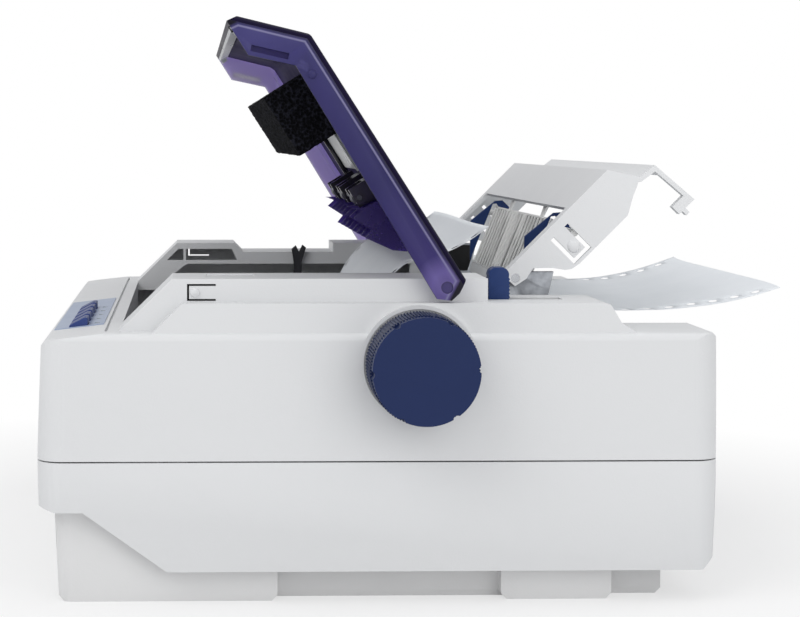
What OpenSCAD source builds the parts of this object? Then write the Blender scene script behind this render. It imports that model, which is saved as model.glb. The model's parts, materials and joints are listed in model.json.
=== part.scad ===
// Dot matrix printer with a hinged access cover and a hinged rear cover.
// Frame: X to the right, Y to the rear, Z up; origin on the desk, at the middle of the body.

/* [Body] */
// Width of the case
body_w = 420; // [400:1:440]
// Depth of the case
body_d = 358; // [352:1:366]
// Height of the parting line between the two case halves
part_z = 74.7; // [72:0.1:78]
// Height of the shoulder and of the rear deck
deck_z = 141.5; // [140.5:0.1:142.5]
// Height of the platform that carries the covers
platform_z = 157; // [156.4:0.1:157.2]
// Height of the raised side walls
wall_z = 169; // [167:0.1:170]
// Thickness of the case skin
skin = 2.6; // [2:0.1:3]
// Plan radius of the case corners
corner_r = 14; // [8:1:18]
// Radius of the rounded shoulders of the case
shoulder_r = 4; // [3:0.5:5]

/* [Access cover] */
// Opening angle of the access cover
cover_angle = 57.6; // [45:0.1:60]
// Thickness of the access cover
cover_t = 3; // [2:0.1:3.4]
// Height of the closed access cover
cover_z = 176; // [175:0.1:178]

/* [Rear cover] */
// Raised angle of the rear cover
rear_angle = 45; // [30:1:50]
// Thickness of the rear cover
rear_t = 2.5; // [2:0.1:3]
// Height of the closed rear cover
rear_z = 172.4; // [171.8:0.1:173]

/* [Platen] */
// Radius of the platen roller
platen_r = 19; // [17:0.1:19.4]
// Radius of the platen knob
knob_r = 28.2; // [24:0.1:30]
// Length of the platen knob
knob_len = 32.5; // [20:0.5:40]
// Number of ribs around the platen knob
knob_ribs = 108; // [72:6:120]
// Radius of the platen shaft
shaft_r = 4; // [3:0.1:5]

/* [Mechanism] */
// Inner face of each side frame, from the middle of the printer
frame_x = 143; // [142.5:0.1:144]
// Thickness of the side frames
frame_t = 3; // [1.5:0.1:3]
// Travel of the print head to each side of the middle
head_travel = 101.6; // [80:0.1:102]
// Tooth module of the feed gears
gear_m = 1; // [0.9:0.05:1]
// Face width of the feed gears
gear_w = 6; // [4:0.5:7]
// Radius of the carriage rod
rod_r = 5; // [4:0.1:5.5]
// Radius of the belt pulleys
pulley_r = 8; // [6:0.1:9]

/* [Paper] */
// Width of the fan-fold paper
paper_w = 241.3; // [200:0.1:245]
// Thickness of the modelled paper
paper_t = 0.4; // [0.3:0.05:0.6]
// Radius of the sprocket holes
hole_r = 2; // [1.5:0.05:2.1]
// Pitch of the sprocket holes
hole_pitch = 12.7; // [12.7:0.1:12.8]

/* [Control panel] */
// Spacing of the panel buttons
button_pitch = 24.5; // [22:0.5:26]
// Width of a panel button
button_w = 17; // [12:0.5:18]
// Travel of a panel button
button_travel = 1; // [0.5:0.1:1.1]

/* [Hidden] */
$fn = 48;
eps = 0.02;                      // overlap of pieces that are fused into one solid
gap = 0.3;                       // clearance between pieces that move past each other
run = 0.05;                      // radial running clearance of a shaft in its hole
half_w = body_w / 2;
half_d = body_d / 2;
parting_gap = 0.8;

// case levels and places
base_z = 17.4;                   // underside of the lower case
chamfer_z = 48.4;                // top of the chamfer above the front foot
rake = 3.5;                      // how far the rear wall leans in over its height
panel_front_z = deck_z - 3.5;    // front edge of the control panel
panel_y0 = -half_d + 5;          // front of the control panel slope
panel_y1 = -half_d + 34.5;       // rear of the control panel slope
open_y0 = -half_d + 40.5;        // front of the access opening
open_y1 = 58;                    // where the access opening meets the rear opening
open_x = frame_x + 8.5;          // half width of the access opening
rear_open_x = frame_x + 11;      // half width of the rear opening
rear_sill_z = 122;               // sill of the rear opening
wall_x = half_w - 14;            // outer face of the raised walls
platform_x = half_w - 3;         // outer face of the platform
skirt_z = 136;                   // lower edge of the skirts round the openings
wall_front_y = -half_d + 70.5;   // front end of the raised wall's flat top
platform_front_y = -half_d + 77.5; // front end of the platform's flat top
platform_rear_y = half_d - 61;   // rear end of the platform's flat top
dip = [-68, -61.7, 2];           // dip in the left wall: slope start, slope end, step
dip_drop = 6.3;

// cover hinges, (y, z)
cover_pivot = [34.9, 165.2];
cover_pin_r = 3.1;
plate_x = wall_x + 9;            // inner face of the access cover's side plates
rear_pivot = [80, 166];
rear_pin_r = 2.5;
rear_x = frame_x + 9;            // outer face of the rear cover's side plates

// platen and gear train, (y, z)
platen = [20.2, 125.2];
platen_x = frame_x - 9;          // half length of the platen roller
gear_x = frame_x + 17;           // inner face of the feed gears
platen_teeth = 40;
idler_teeth = 64;
tractor_teeth = 24;
pinion_teeth = 14;
mesh_slack = 0.15;               // extra centre distance in each gear mesh
function centres(a, b) = gear_m * (a + b) / 2 + mesh_slack;
tractor_axis = [platen[0] + 92, 130];
// the idler hangs below the line from platen to tractor, in mesh with both
train_d = norm(tractor_axis - platen);
train_a = centres(platen_teeth, idler_teeth);
train_b = centres(idler_teeth, tractor_teeth);
train_along = (train_a * train_a - train_b * train_b + train_d * train_d) / (2 * train_d);
train_down = sqrt(train_a * train_a - train_along * train_along);
train_dir = (tractor_axis - platen) / train_d;
idler_axis = platen + train_along * train_dir + train_down * [train_dir[1], -train_dir[0]];
pinion_angle = 240;              // direction of the pinion, seen from the idler
pinion_axis = idler_axis + centres(idler_teeth, pinion_teeth) * [cos(pinion_angle), sin(pinion_angle)];
knob_x = half_w + 0.5;           // inner face of the knob
dish_r = knob_r + 2.8;           // raised ring around the knob

// carriage, rod and belt
rod = [-38, 96];
belt_z = 88;
belt_h = 6;
belt_t = 1;
belt_y = -14;
pulley_x = frame_x - 25;
head_r = 20;
head_y0 = -48;
nose_y = -2.6;
ribbon_x = frame_x - 5;          // half width of the ribbon cartridge

// levers
lever_pivot = [66, 72];
lever_x = half_w - 32;
lever_w = 10;
head_lever_pivot = [-23, 105];
head_lever_x = -frame_x - frame_t - 3.3;

// chassis and electronics
tray_z = 58;
tray_t = 2;
board_z = 28;
board_t = 1.6;
boss_x = frame_x - 9;
boss_y = [-half_d + 101, half_d - 71];
screw_x = half_w - 20;
screw_y = [-half_d + 84, half_d - 17];
foot_r = 9;
foot_at = [[half_w - 28, -half_d + 29], [half_w - 28, half_d - 81]];

// control panel
button_count = 5;
button_x0 = half_w - 64;         // first button, from the middle
button_y = [-half_d + 14, -half_d + 24];
label_x = [half_w - 225, half_w - 54];
label_t = 0.5;
lamp_y = -half_d + 29;
lamp_r = 1.6;
panel_board_z = 126;

// ---- shape helpers ----

// Prism along X between x0 and x1, of an outline in (y, z).
module along_x(x0, x1, outline) {
    translate([x0, 0, 0]) rotate([90, 0, 90]) linear_extrude(x1 - x0) polygon(outline);
}

// Rod along X between x0 and x1, at (y, z).
module rod_x(x0, x1, at, r) {
    translate([x0, at[0], at[1]]) rotate([0, 90, 0]) cylinder(h = x1 - x0, r = r);
}

// Box between two corners.
module block(low, high) {
    translate(low) cube(high - low);
}

// Rectangle with round corners, half width x and from y0 to y1.
module round_plan(x, y0, y1, r) {
    translate([-x + r, y0]) square([2 * (x - r), y1 - y0]);
    translate([-x, y0 + r]) square([2 * x, y1 - y0 - 2 * r]);
    for (sx = [-1, 1], y = [y0 + r, y1 - r]) translate([sx * (x - r), y]) circle(r);
}

// The children and their mirror image across the middle of the printer.
module both_sides() {
    children();
    mirror([1, 0, 0]) children();
}

// What a rounded edge along X's far side leaves out: the corner at x, along a line in (y, z)
// from one point to another, outside a radius r.
module edge_cut(x, from, to, r) {
    translate([x - r, from[0], from[1]])
        rotate([atan2(to[1] - from[1], to[0] - from[0]), 0, 0]) translate([0, -8, -r])
            difference() {
                cube([r + 1, norm(to - from) + 16, r + 1]);
                translate([0, -1, 0]) rotate([-90, 0, 0])
                    cylinder(h = norm(to - from) + 18, r = r);
            }
}

// Moves the children from the closed cover's pose to the open one.
module open_cover() {
    translate([0, cover_pivot[0], cover_pivot[1]]) rotate([-cover_angle, 0, 0])
        translate([0, -cover_pivot[0], -cover_pivot[1]]) children();
}

// Moves the children from the closed rear cover's pose to the raised one.
module raise_rear() {
    translate([0, rear_pivot[0], rear_pivot[1]]) rotate([rear_angle, 0, 0])
        translate([0, -rear_pivot[0], -rear_pivot[1]]) children();
}

// Involute gear outline: flank points of one tooth, then all the teeth.
pressure_angle = 20;
backlash_deg = 0.8;
function involute(rb, r) = let (t = sqrt(max(0, r * r / (rb * rb) - 1))) t * 180 / PI - atan(t);
function tooth_half(teeth, r) = let (rp = gear_m * teeth / 2, rb = rp * cos(pressure_angle))
    90 / teeth + involute(rb, rp) - involute(rb, max(r, rb)) - backlash_deg * 10 / teeth;
function tooth_points(teeth) = let (rp = gear_m * teeth / 2, ro = rp + 0.9 * gear_m,
    ri = rp - 1.2 * gear_m, steps = [ri, rp - 0.6 * gear_m, rp, rp + 0.5 * gear_m, ro])
    concat([for (r = steps) [r, -tooth_half(teeth, r)]],
        [for (i = [4:-1:0]) [steps[i], tooth_half(teeth, steps[i])]]);
module gear(teeth, width, bore, turn = 0) {
    tooth = tooth_points(teeth);
    difference() {
        linear_extrude(width) polygon([for (i = [0:teeth - 1], p = tooth)
            p[0] * [cos(p[1] + turn + i * 360 / teeth), sin(p[1] + turn + i * 360 / teeth)]]);
        translate([0, 0, -1]) cylinder(h = width + 2, r = bore);
    }
}

// A gear standing in the (y, z) plane at x.
module gear_at(x, at, teeth, width, bore, turn) {
    translate([x, at[0], at[1]]) rotate([90, 0, 90]) gear(teeth, width, bore, turn);
}
function direction(from, to) = atan2(to[1] - from[1], to[0] - from[0]);
// Turn that puts gear b in mesh with gear a, whose own turn is turn_a.
function mesh_turn(turn_a, teeth_a, teeth_b, dir) =
    dir + 180 + (dir - turn_a) * teeth_a / teeth_b + 180 / teeth_b;
platen_turn = 0;
idler_turn = mesh_turn(platen_turn, platen_teeth, idler_teeth, direction(platen, idler_axis));
tractor_turn = mesh_turn(idler_turn, idler_teeth, tractor_teeth,
    direction(idler_axis, tractor_axis));
pinion_turn = mesh_turn(idler_turn, idler_teeth, pinion_teeth, pinion_angle);

// ---- case ----

// Outline of the lower case, inset by t.
function lower_outline(t) = [
    [-half_d + t, part_z - parting_gap / 2 + (t > 0 ? 1 : 0)],
    [half_d - t, part_z - parting_gap / 2 + (t > 0 ? 1 : 0)],
    [half_d - rake - t, base_z + 6], [half_d - rake - 6, base_z + t],
    [-half_d + 68 + t * 0.3, base_z + t], [-half_d + 24.3 + t * 0.3, chamfer_z + t],
    [-half_d + 9.2, chamfer_z + t],
    [-half_d + 1 + t, chamfer_z + 2.6 + t]];

module lower_case() {
    color("#d9dcdf") difference() {
        union() {
            difference() {
                intersection() {
                    along_x(-half_w, half_w, lower_outline(0));
                    linear_extrude(part_z) round_plan(half_w, -half_d, half_d, corner_r);
                }
                intersection() {
                    along_x(-half_w + skin, half_w - skin, lower_outline(skin));
                    linear_extrude(part_z + 2)
                        round_plan(half_w - skin, -half_d + skin, half_d - skin, corner_r - skin);
                }
            }
            // bosses that carry the chassis tray and the main board
            for (sx = [-1, 1], y = boss_y)
                translate([sx * boss_x, y, base_z + skin - eps])
                    cylinder(h = tray_z - base_z - skin + eps, r = 6);
            for (x = board_post_x, y = board_post_y)
                translate([x, y, base_z + skin - eps])
                    cylinder(h = board_z - base_z - skin + eps, r = 4);
        }
        for (x = screw_x_at, y = screw_y)
            translate([x, y, base_z - 1]) cylinder(h = skin + 2, r = 2.1);
        // cutouts in the rear wall for the switch, the inlet and the interface
        for (hole = rear_holes)
            block([hole[0] - hole[1] / 2 - run, half_d - 12, hole[2] - hole[3] / 2 - run],
                [hole[0] + hole[1] / 2 + run, half_d + 1, hole[2] + hole[3] / 2 + run]);
    }
}
screw_x_at = [-screw_x, screw_x];
board_post_x = [-112, 52];
board_post_y = [-50, 130];
// rear cutouts: x, width, z, height
switch_hole = [-half_w + 38, 24, 46, 16];
inlet_hole = [-half_w + 70, 27.5, 46, 20];
port_hole = [-40, 60, 46, 14];
rear_holes = [switch_hole, inlet_hole, port_hole];

// The plinth: a hollow base pan whose underside is the face the printer stands on.
plinth_y = [-half_d + 11.2, -half_d + 126, half_d - 114, half_d - 55.5, half_d - 26.5];
plinth_x = [half_w - 10, half_w - 20, half_w - 11, half_w - 23];
plinth_r = 3;
module plinth_solid(t) {
    top = base_z - (t > 0 ? -1 : 0.05);
    intersection() {
        union() {
            along_x(-plinth_x[0] + t, plinth_x[0] - t, [
                [-half_d + 8.7 + t, chamfer_z - 0.3 + (t > 0 ? 1 : 0)], [plinth_y[0] + t, plinth_r],
                [plinth_y[0] + plinth_r + t, t], [plinth_y[1] - plinth_r - t, t],
                [plinth_y[1] - t, plinth_r + t], [plinth_y[1] - t, top],
                [-half_d + 67.7 + t * 0.4, top],
                [-half_d + 24 + t * 0.4, chamfer_z - 0.3 + (t > 0 ? 1 : 0)]]);
            block([-plinth_x[1] + t, plinth_y[1] - 4, t], [plinth_x[1] - t, plinth_y[2] + 4, top]);
            along_x(-plinth_x[2] + t, plinth_x[2] - t, [
                [plinth_y[2] + t, top], [plinth_y[2] + t, plinth_r + t],
                [plinth_y[2] + plinth_r + t, t], [plinth_y[3] - plinth_r - t, t],
                [plinth_y[3] - t, plinth_r + t], [plinth_y[3] - t, top]]);
            along_x(-plinth_x[3] + t, plinth_x[3] - t, [
                [plinth_y[3] - 4, t], [plinth_y[4] - plinth_r - t, t],
                [plinth_y[4] - t, plinth_r + t], [plinth_y[4] - t, top], [plinth_y[3] - 4, top]]);
        }
        linear_extrude(chamfer_z + 2)
            round_plan(plinth_x[0] - t, -half_d + 8 + t, half_d - 19, corner_r - 4);
    }
}
module plinth() {
    color("#d4d7da") difference() {
        plinth_solid(0);
        plinth_solid(skin);
        for (sx = [-1, 1], foot = foot_at)
            translate([sx * foot[0], foot[1], -1]) cylinder(h = skin + 2, r = foot_r - 1 + run);
    }
}

module rubber_feet() {
    color("#3a3c40") for (sx = [-1, 1], foot = foot_at) translate([sx * foot[0], foot[1], 0]) {
        cylinder(h = skin + eps, r = foot_r - 1);
        translate([0, 0, skin]) cylinder(h = 2, r = foot_r);
    }
}

// Raised wall outline, lowered by t, with or without the dip.
function wall_outline(t, dipped) = concat(
    [[wall_front_y - 28 + t * 0.4, deck_z - 3], [wall_front_y - 28 + t * 0.4, deck_z],
        [wall_front_y + t * 0.4, wall_z - t]],
    dipped ? [[dip[0], wall_z - t], [dip[1], wall_z - dip_drop - t],
        [dip[2] + t, wall_z - dip_drop - t], [dip[2] + t, wall_z - t]] : [],
    [[open_y1 - t, wall_z - t], [open_y1 - t, deck_z - 3]]);

function case_outline(t) = [[-half_d + t, part_z + parting_gap / 2 - (t > 0 ? 1 : 0)],
    [-half_d + 2.4 + t, panel_front_z - 3], [panel_y0 + t * 0.4, panel_front_z - t],
    [panel_y1, deck_z - t], [half_d - 4.5 - t, deck_z - t], [half_d - 1.6 - t, deck_z - 2.5 - t],
    [half_d - t, part_z + parting_gap / 2 - (t > 0 ? 1 : 0)]];

function platform_outline(t) = [[platform_front_y - 17.5 + t * 0.4, deck_z - 6],
    [platform_front_y - 17.5 + t * 0.4, deck_z - 0.5],
    [platform_front_y - 2.4 + t * 0.4, platform_z - 0.9 - t],
    [platform_front_y + t * 0.4, platform_z - t], [platform_rear_y - t * 0.4, platform_z - t],
    [platform_rear_y + 3 - t * 0.4, platform_z - 1 - t],
    [platform_rear_y + 8.8 - t * 0.6, deck_z + 4.9 - t],
    [platform_rear_y + 17 - t, deck_z - 0.2 - t], [platform_rear_y + 17 - t, deck_z - 6]];

// Walls of both sides, from x0 to x1; the left one has the dip.
module raised_walls(x0, x1, t) {
    along_x(x0, x1, wall_outline(t, false));
    along_x(-x1, -x0, wall_outline(t, true));
}

// Body of the upper case, every face inset by t.
module upper_solid(t) {
    intersection() {
        along_x(-half_w + t, half_w - t, case_outline(t));
        linear_extrude(deck_z + 10)
            round_plan(half_w - t, -half_d + t, half_d - t, corner_r - t);
        // front view with the rounded shoulders
        rotate([90, 0, 0]) linear_extrude(body_d + 2, center = true)
            round_plan(half_w - t, part_z - 2 * shoulder_r, deck_z - t, shoulder_r - t * 0.9);
    }
    along_x(-platform_x + t, platform_x - t, platform_outline(t));
    raised_walls(open_x + t, wall_x - t, t);
}

module upper_case() {
    color("#dcdee1") difference() {
        union() {
            difference() {
                upper_solid(0);
                upper_solid(skin);
            }
            rod_x(collar_x, half_w, platen, dish_r);
            case_skirts();
            for (x = screw_x_at, y = screw_y) screw_post(x, y);
            both_sides() rod_x(wall_x - 1.2, wall_x + 1.2, [wall_front_y + 12, wall_z - 7], 2.2);
        }
        // hollow of the sleeve round the platen shaft, the shaft's hole, and a shallow dish
        rod_x(collar_x - 9, half_w - skin - 1.5, platen, dish_r - skin);
        rod_x(half_w - 30, half_w + 1, platen, shaft_r + 1);
        rod_x(half_w - 1.5, half_w + 1, platen, dish_r - 2);
        // openings above the mechanism and behind the platen
        block([-open_x, open_y0 + skin, part_z - 2], [open_x, open_y1 + 1, wall_z + 1]);
        block([-rear_open_x, open_y1, rear_sill_z], [rear_open_x, half_d + 1, wall_z + 1]);
        // groove that takes the closed cover's front lip
        block([-wall_x, panel_y1 + 0.5, deck_z - 2], [wall_x, panel_y1 + 1.9, deck_z + 2]);
        // latch tongue of each raised wall
        both_sides() latch_slot();
        // the raised walls are open towards the mechanism, with a rib across each window
        both_sides() {
            along_x(open_x - 1, open_x + skin + 1, [[wall_front_y - 7, platform_z],
                [wall_front_y + 1, wall_z - skin - 1.5], [wall_front_y + 4.6, wall_z - skin - 1.5],
                [wall_front_y + 4.6, platform_z]]);
            along_x(open_x - 1, open_x + skin + 1, [[wall_front_y + 6.4, platform_z],
                [wall_front_y + 6.4, wall_z - skin - 1.5], [dip[0] - 2, wall_z - skin - 1.5],
                [dip[0] + 2, platform_z]]);
        }
        // shallow recess on top of the right wall
        block([open_x + 8, wall_front_y + 18, wall_z - 0.6], [wall_x - 8, wall_front_y + 44, wall_z + 1]);
        // cover hinge pins
        both_sides() rod_x(wall_x - 6, wall_x + 2, cover_pivot, cover_pin_r + run);
        // slot of the release lever
        block([lever_x - lever_w / 2 - 1, open_y1 + 1.2, platform_z - 6],
            [lever_x + lever_w / 2 + 1, open_y1 + 42, platform_z + 1]);
        // button and lamp holes
        for (i = [0:button_count - 1]) {
            block([button_x(i) - button_w / 2 - gap, button_y[0] - gap, panel_front_z - 8],
                [button_x(i) + button_w / 2 + gap, button_y[1] + gap, deck_z + 3]);
            translate([button_x(i), lamp_y, panel_front_z - 8]) cylinder(h = 16, r = lamp_r + run);
        }
    }
}
collar_x = half_w - 20;           // inner end of the sleeve round the platen shaft
function button_x(i) = button_x0 - i * button_pitch;

// Inner walls that hang down round the openings, and the front one.
module case_skirts() {
    both_sides() {
        block([open_x, open_y0 + 1, skirt_z], [open_x + skin + 0.4, open_y1 - 1, deck_z - 0.8]);
        along_x(rear_open_x, rear_open_x + skin, [[open_y1 - 1.5, skirt_z],
            [open_y1 - 1.5, platform_z - 0.8], [platform_rear_y, platform_z - 0.8],
            [platform_rear_y + 8, deck_z + 2.2], [platform_rear_y + 15, deck_z - 1],
            [half_d - 4, deck_z - 1], [half_d - 4, skirt_z]]);
    }
    block([-open_x - 2, open_y0 + 0.2, part_z + 30], [open_x + 2, open_y0 + skin, deck_z - 0.8]);
}

// Post that takes a case screw, tied to the side wall by a rib.
module screw_post(x, y) {
    side = x > 0 ? 1 : -1;
    difference() {
        union() {
            translate([x, y, base_z + skin + 2]) cylinder(h = deck_z - base_z - 5, r = 5);
            block([min(x, side * (half_w - 1)), y - 1, part_z + 4],
                [max(x, side * (half_w - 1)), y + 1, deck_z - 4]);
        }
        translate([x, y, base_z]) cylinder(h = 18, r = 1.6);
    }
}

module latch_slot() {
    slot = 1.1;
    y = [wall_front_y + 7.9, wall_front_y + 23];
    z = [wall_z - 11.1, wall_z - 3.2];
    for (level = z) block([wall_x - skin - 1, y[0], level - slot / 2],
        [wall_x + 1, y[1], level + slot / 2]);
    block([wall_x - skin - 1, y[0], z[0]], [wall_x + 1, y[0] + slot, z[1]]);
}

module case_screws() {
    color("#9a9da2") for (x = screw_x_at, y = screw_y) translate([x, y, 0]) {
        translate([0, 0, base_z - 0.05 - 1.6]) cylinder(h = 1.6, r = 3.4);
        translate([0, 0, base_z - 0.1]) cylinder(h = 16, r = 1.55);
    }
}

// Height of the control panel's sloping face at y.
function panel_z(y) = panel_front_z
    + (deck_z - panel_front_z) * (y - panel_y0) / (panel_y1 - panel_y0);
function panel_strip(y0, y1, low, high) = [[y0, panel_z(y0) + low], [y1, panel_z(y1) + low],
    [y1, panel_z(y1) + high], [y0, panel_z(y0) + high]];

module panel_label() {
    color("#bcc8da") difference() {
        along_x(label_x[0], label_x[1], panel_strip(panel_y0 + 1, panel_y1 - 1.5, 0.02, label_t));
        for (i = [0:button_count - 1]) {
            block([button_x(i) - button_w / 2 - gap, button_y[0] - gap, deck_z - 12],
                [button_x(i) + button_w / 2 + gap, button_y[1] + gap, deck_z + 9]);
            translate([button_x(i), lamp_y, deck_z - 12]) cylinder(h = 24, r = lamp_r + run);
        }
    }
}

// Printed circuit board under the panel, with a switch below each button.
module panel_board() {
    color("#2f6b46") {
        block([label_x[0] + 30, panel_y0 + 3, panel_board_z], [label_x[1] + 6, open_y0 - 1.5,
            panel_board_z + board_t]);
        for (i = [0:button_count - 1]) {
            translate([button_x(i), (button_y[0] + button_y[1]) / 2, panel_board_z + board_t + 1.2])
                cube([6, 6, 2.4 + eps], center = true);
        }
        // pillars up to the underside of the panel
        for (x = [label_x[0] + 33, label_x[1] + 3])
            translate([x, lamp_y + 1, panel_board_z + board_t - eps])
                cylinder(h = panel_z(lamp_y - 1.4) - skin - panel_board_z - board_t - 0.1, r = 2);
    }
}

module indicator_lenses() {
    color("#7fae6a") for (i = [0:button_count - 1]) translate([button_x(i), lamp_y, 0]) {
        translate([0, 0, panel_board_z + board_t])
            cylinder(h = panel_z(lamp_y) + 0.6 - panel_board_z - board_t, r = lamp_r);
    }
}

// One wedge button: sloping cap, stem, and a flange below the panel that holds it in.
module panel_button(i) {
    x = button_x(i);
    mid = (button_y[0] + button_y[1]) / 2;
    switch_top = panel_board_z + board_t + 2.4;
    color("#35508c") {
        along_x(x - button_w / 2, x + button_w / 2, [
            [button_y[0], panel_z(button_y[0]) - skin - 0.5],
            [button_y[1], panel_z(button_y[1]) - skin - 0.5],
            [button_y[1], panel_z(button_y[1]) + 4.4], [button_y[1] - 2, panel_z(button_y[1]) + 4.6],
            [button_y[0], panel_z(button_y[0]) + 1.6]]);
        along_x(x - button_w / 2 - 1.2, x + button_w / 2 + 1.2, panel_strip(button_y[0] - 1.2,
            button_y[1] + 1.2, -skin - 1.5, -skin - gap));
        block([x - 2.5, mid - 2.5, switch_top + button_travel + 0.1],
            [x + 2.5, mid + 2.5, panel_z(mid) - skin - 1]);
    }
}
module panel_button_1() { panel_button(0); }
module panel_button_2() { panel_button(1); }
module panel_button_3() { panel_button(2); }
module panel_button_4() { panel_button(3); }
module panel_button_5() { panel_button(4); }

// ---- access cover, drawn closed and then opened about its pins ----

cover_front_y = -half_d + 35.3;
cover_bend_y = -half_d + 66;
cover_end_y = 20;                // rear end of the top panel
cover_sink = [cover_front_y, deck_z + 0.8];
// Outer line of the cover: front lip, sloping front, bend, top.
cover_line = [cover_sink, [cover_front_y + 0.7, cover_sink[1] + 6], [cover_bend_y - 2.6, cover_z - 1.25],
    [cover_bend_y - 0.4, cover_z - 0.4], [cover_end_y, cover_z]];
cover_under = cover_z - 0.4 - cover_t;
cover_rim_r = 4;                 // rounding between the top and the side plates
cover_inner = [[cover_end_y, cover_under], [cover_bend_y + 1.2, cover_under],
    [cover_bend_y - 2.2, cover_z - 2 - cover_t],
    [cover_front_y + 0.8 + cover_t, cover_sink[1] + 4.9], [cover_front_y + cover_t, cover_sink[1]]];
cover_plate = concat(cover_line, [[cover_pivot[0] + 2, cover_z], [41, 169], [42, 163.5],
    [cover_pivot[0] + 2.2, platform_z + 0.6], [cover_pivot[0] - 2, platform_z + 0.6],
    [cover_bend_y + 8, platform_z + 3.2], [cover_bend_y - 9.6, deck_z + 0.8]]);

module access_cover() {
    color("#423a78") open_cover() difference() {
        union() {
            along_x(-plate_x - eps, plate_x + eps, concat(cover_line, cover_inner));
            both_sides() along_x(plate_x, plate_x + cover_t, cover_plate);
            // stiffening rib along the inside of each plate and hinge boss
            both_sides() {
                along_x(plate_x - 1.4, plate_x + eps, [[cover_bend_y + 5, cover_under - 3.2],
                    [cover_end_y, cover_under - 3.2], [cover_end_y, cover_under + 1],
                    [cover_bend_y + 5, cover_under + 1]]);
                rod_x(plate_x - 5, plate_x + eps, cover_pivot, cover_pin_r + 3);
            }
        }
        both_sides() {
            rod_x(plate_x - 6, plate_x + cover_t + 1, cover_pivot, cover_pin_r + run);
            // grip recess near the lower front edge
            translate([0, cover_bend_y - 5, 152.5]) rotate([45, 0, 0])
                block([plate_x + 0.8, -10, -1.6], [plate_x + cover_t + 1, 10, 1.6]);
            // rounded outer edges
            edge_cut(plate_x + cover_t, cover_line[1], cover_line[2], cover_rim_r);
            edge_cut(plate_x + cover_t, cover_line[3], [cover_pivot[0] + 2, cover_z], cover_rim_r);
            // dimple that the wall's latch tongue snaps into
            translate([plate_x - 1, wall_front_y + 12, wall_z - 5]) sphere(r = 2.4);
        }
    }
}

// Comb of toothed fins that strips the paper off the platen.
fin_count = 8;
fin_pitch = 30;
fin_t = 1.6;
module cover_fins() {
    under = cover_under;
    color("#5a4a96") open_cover() {
        for (i = [0:fin_count - 1]) {
            x = (i - (fin_count - 1) / 2) * fin_pitch;
            along_x(x - fin_t / 2, x + fin_t / 2, [[-14, under - 2], [cover_end_y - 1, under - 2],
                [cover_end_y - 1, 164], [14, 157.5], [-0.4, 148], [-2.4, 153.6], [-13.4, 148.4],
                [-14.6, 154.8], [-19.4, 150.2], [-15.6, 156.6], [-15, 163], [-15, 166]]);
        }
        block([-fin_count * fin_pitch / 2 + 10, -15, under - 2.4],
            [fin_count * fin_pitch / 2 - 10, cover_end_y - 1, under - 0.02]);
    }
}

module cover_foam() {
    color("#1b1d22") open_cover()
        block([-146, -100, 139], [146, -61, cover_under]);
}

// Brackets under the cover and the rollers that turn in them.
roller_at = [-20.6, 158.4];
roller_r = 4;
roller_x = [-75, 0, 75];
module roller_holders() {
    color("#25252b") open_cover() for (x = roller_x) difference() {
        block([x - 13, roller_at[0] - 7, roller_at[1] - 3],
            [x + 13, roller_at[0] + 5.4, cover_under]);
        block([x - 10, roller_at[0] - 8, roller_at[1] - 4],
            [x + 10, roller_at[0] + 8, roller_at[1] + 7]);
        rod_x(x - 14, x + 14, roller_at, 1.5 + run);
    }
}
module paper_rollers() {
    color("#b9bcc4") open_cover() {
        rod_x(roller_x[0] - 15, roller_x[2] + 15, roller_at, 1.5);
        for (x = roller_x) rod_x(x - 8, x + 8, roller_at, roller_r);
    }
}

// Clear strip behind the front lip, with a small dark sensor flag at each end.
module cover_strip() {
    color("#c9cfd6") open_cover() {
        along_x(-wall_x, wall_x, [[cover_front_y + cover_t + 0.2, cover_sink[1]],
            [cover_front_y + cover_t + 2.2, cover_sink[1]],
            [cover_front_y + cover_t + 3.2, cover_sink[1] + 5.6],
            [cover_front_y + cover_t + 1.4, cover_sink[1] + 4.6]]);
        both_sides() block([wall_x - 6, cover_front_y + cover_t + 2, cover_sink[1] + 0.4],
            [wall_x - 2, cover_front_y + cover_t + 5, cover_sink[1] + 4.4]);
    }
}

module cover_hinge_pins() {
    color("#8f9299") both_sides() {
        rod_x(wall_x - 5, plate_x + cover_t - 0.6, cover_pivot, cover_pin_r);
        rod_x(wall_x + 0.1, plate_x - 5 - gap, cover_pivot, cover_pin_r + 2);
    }
}

// ---- rear cover, drawn closed and then raised about its pins ----

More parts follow.
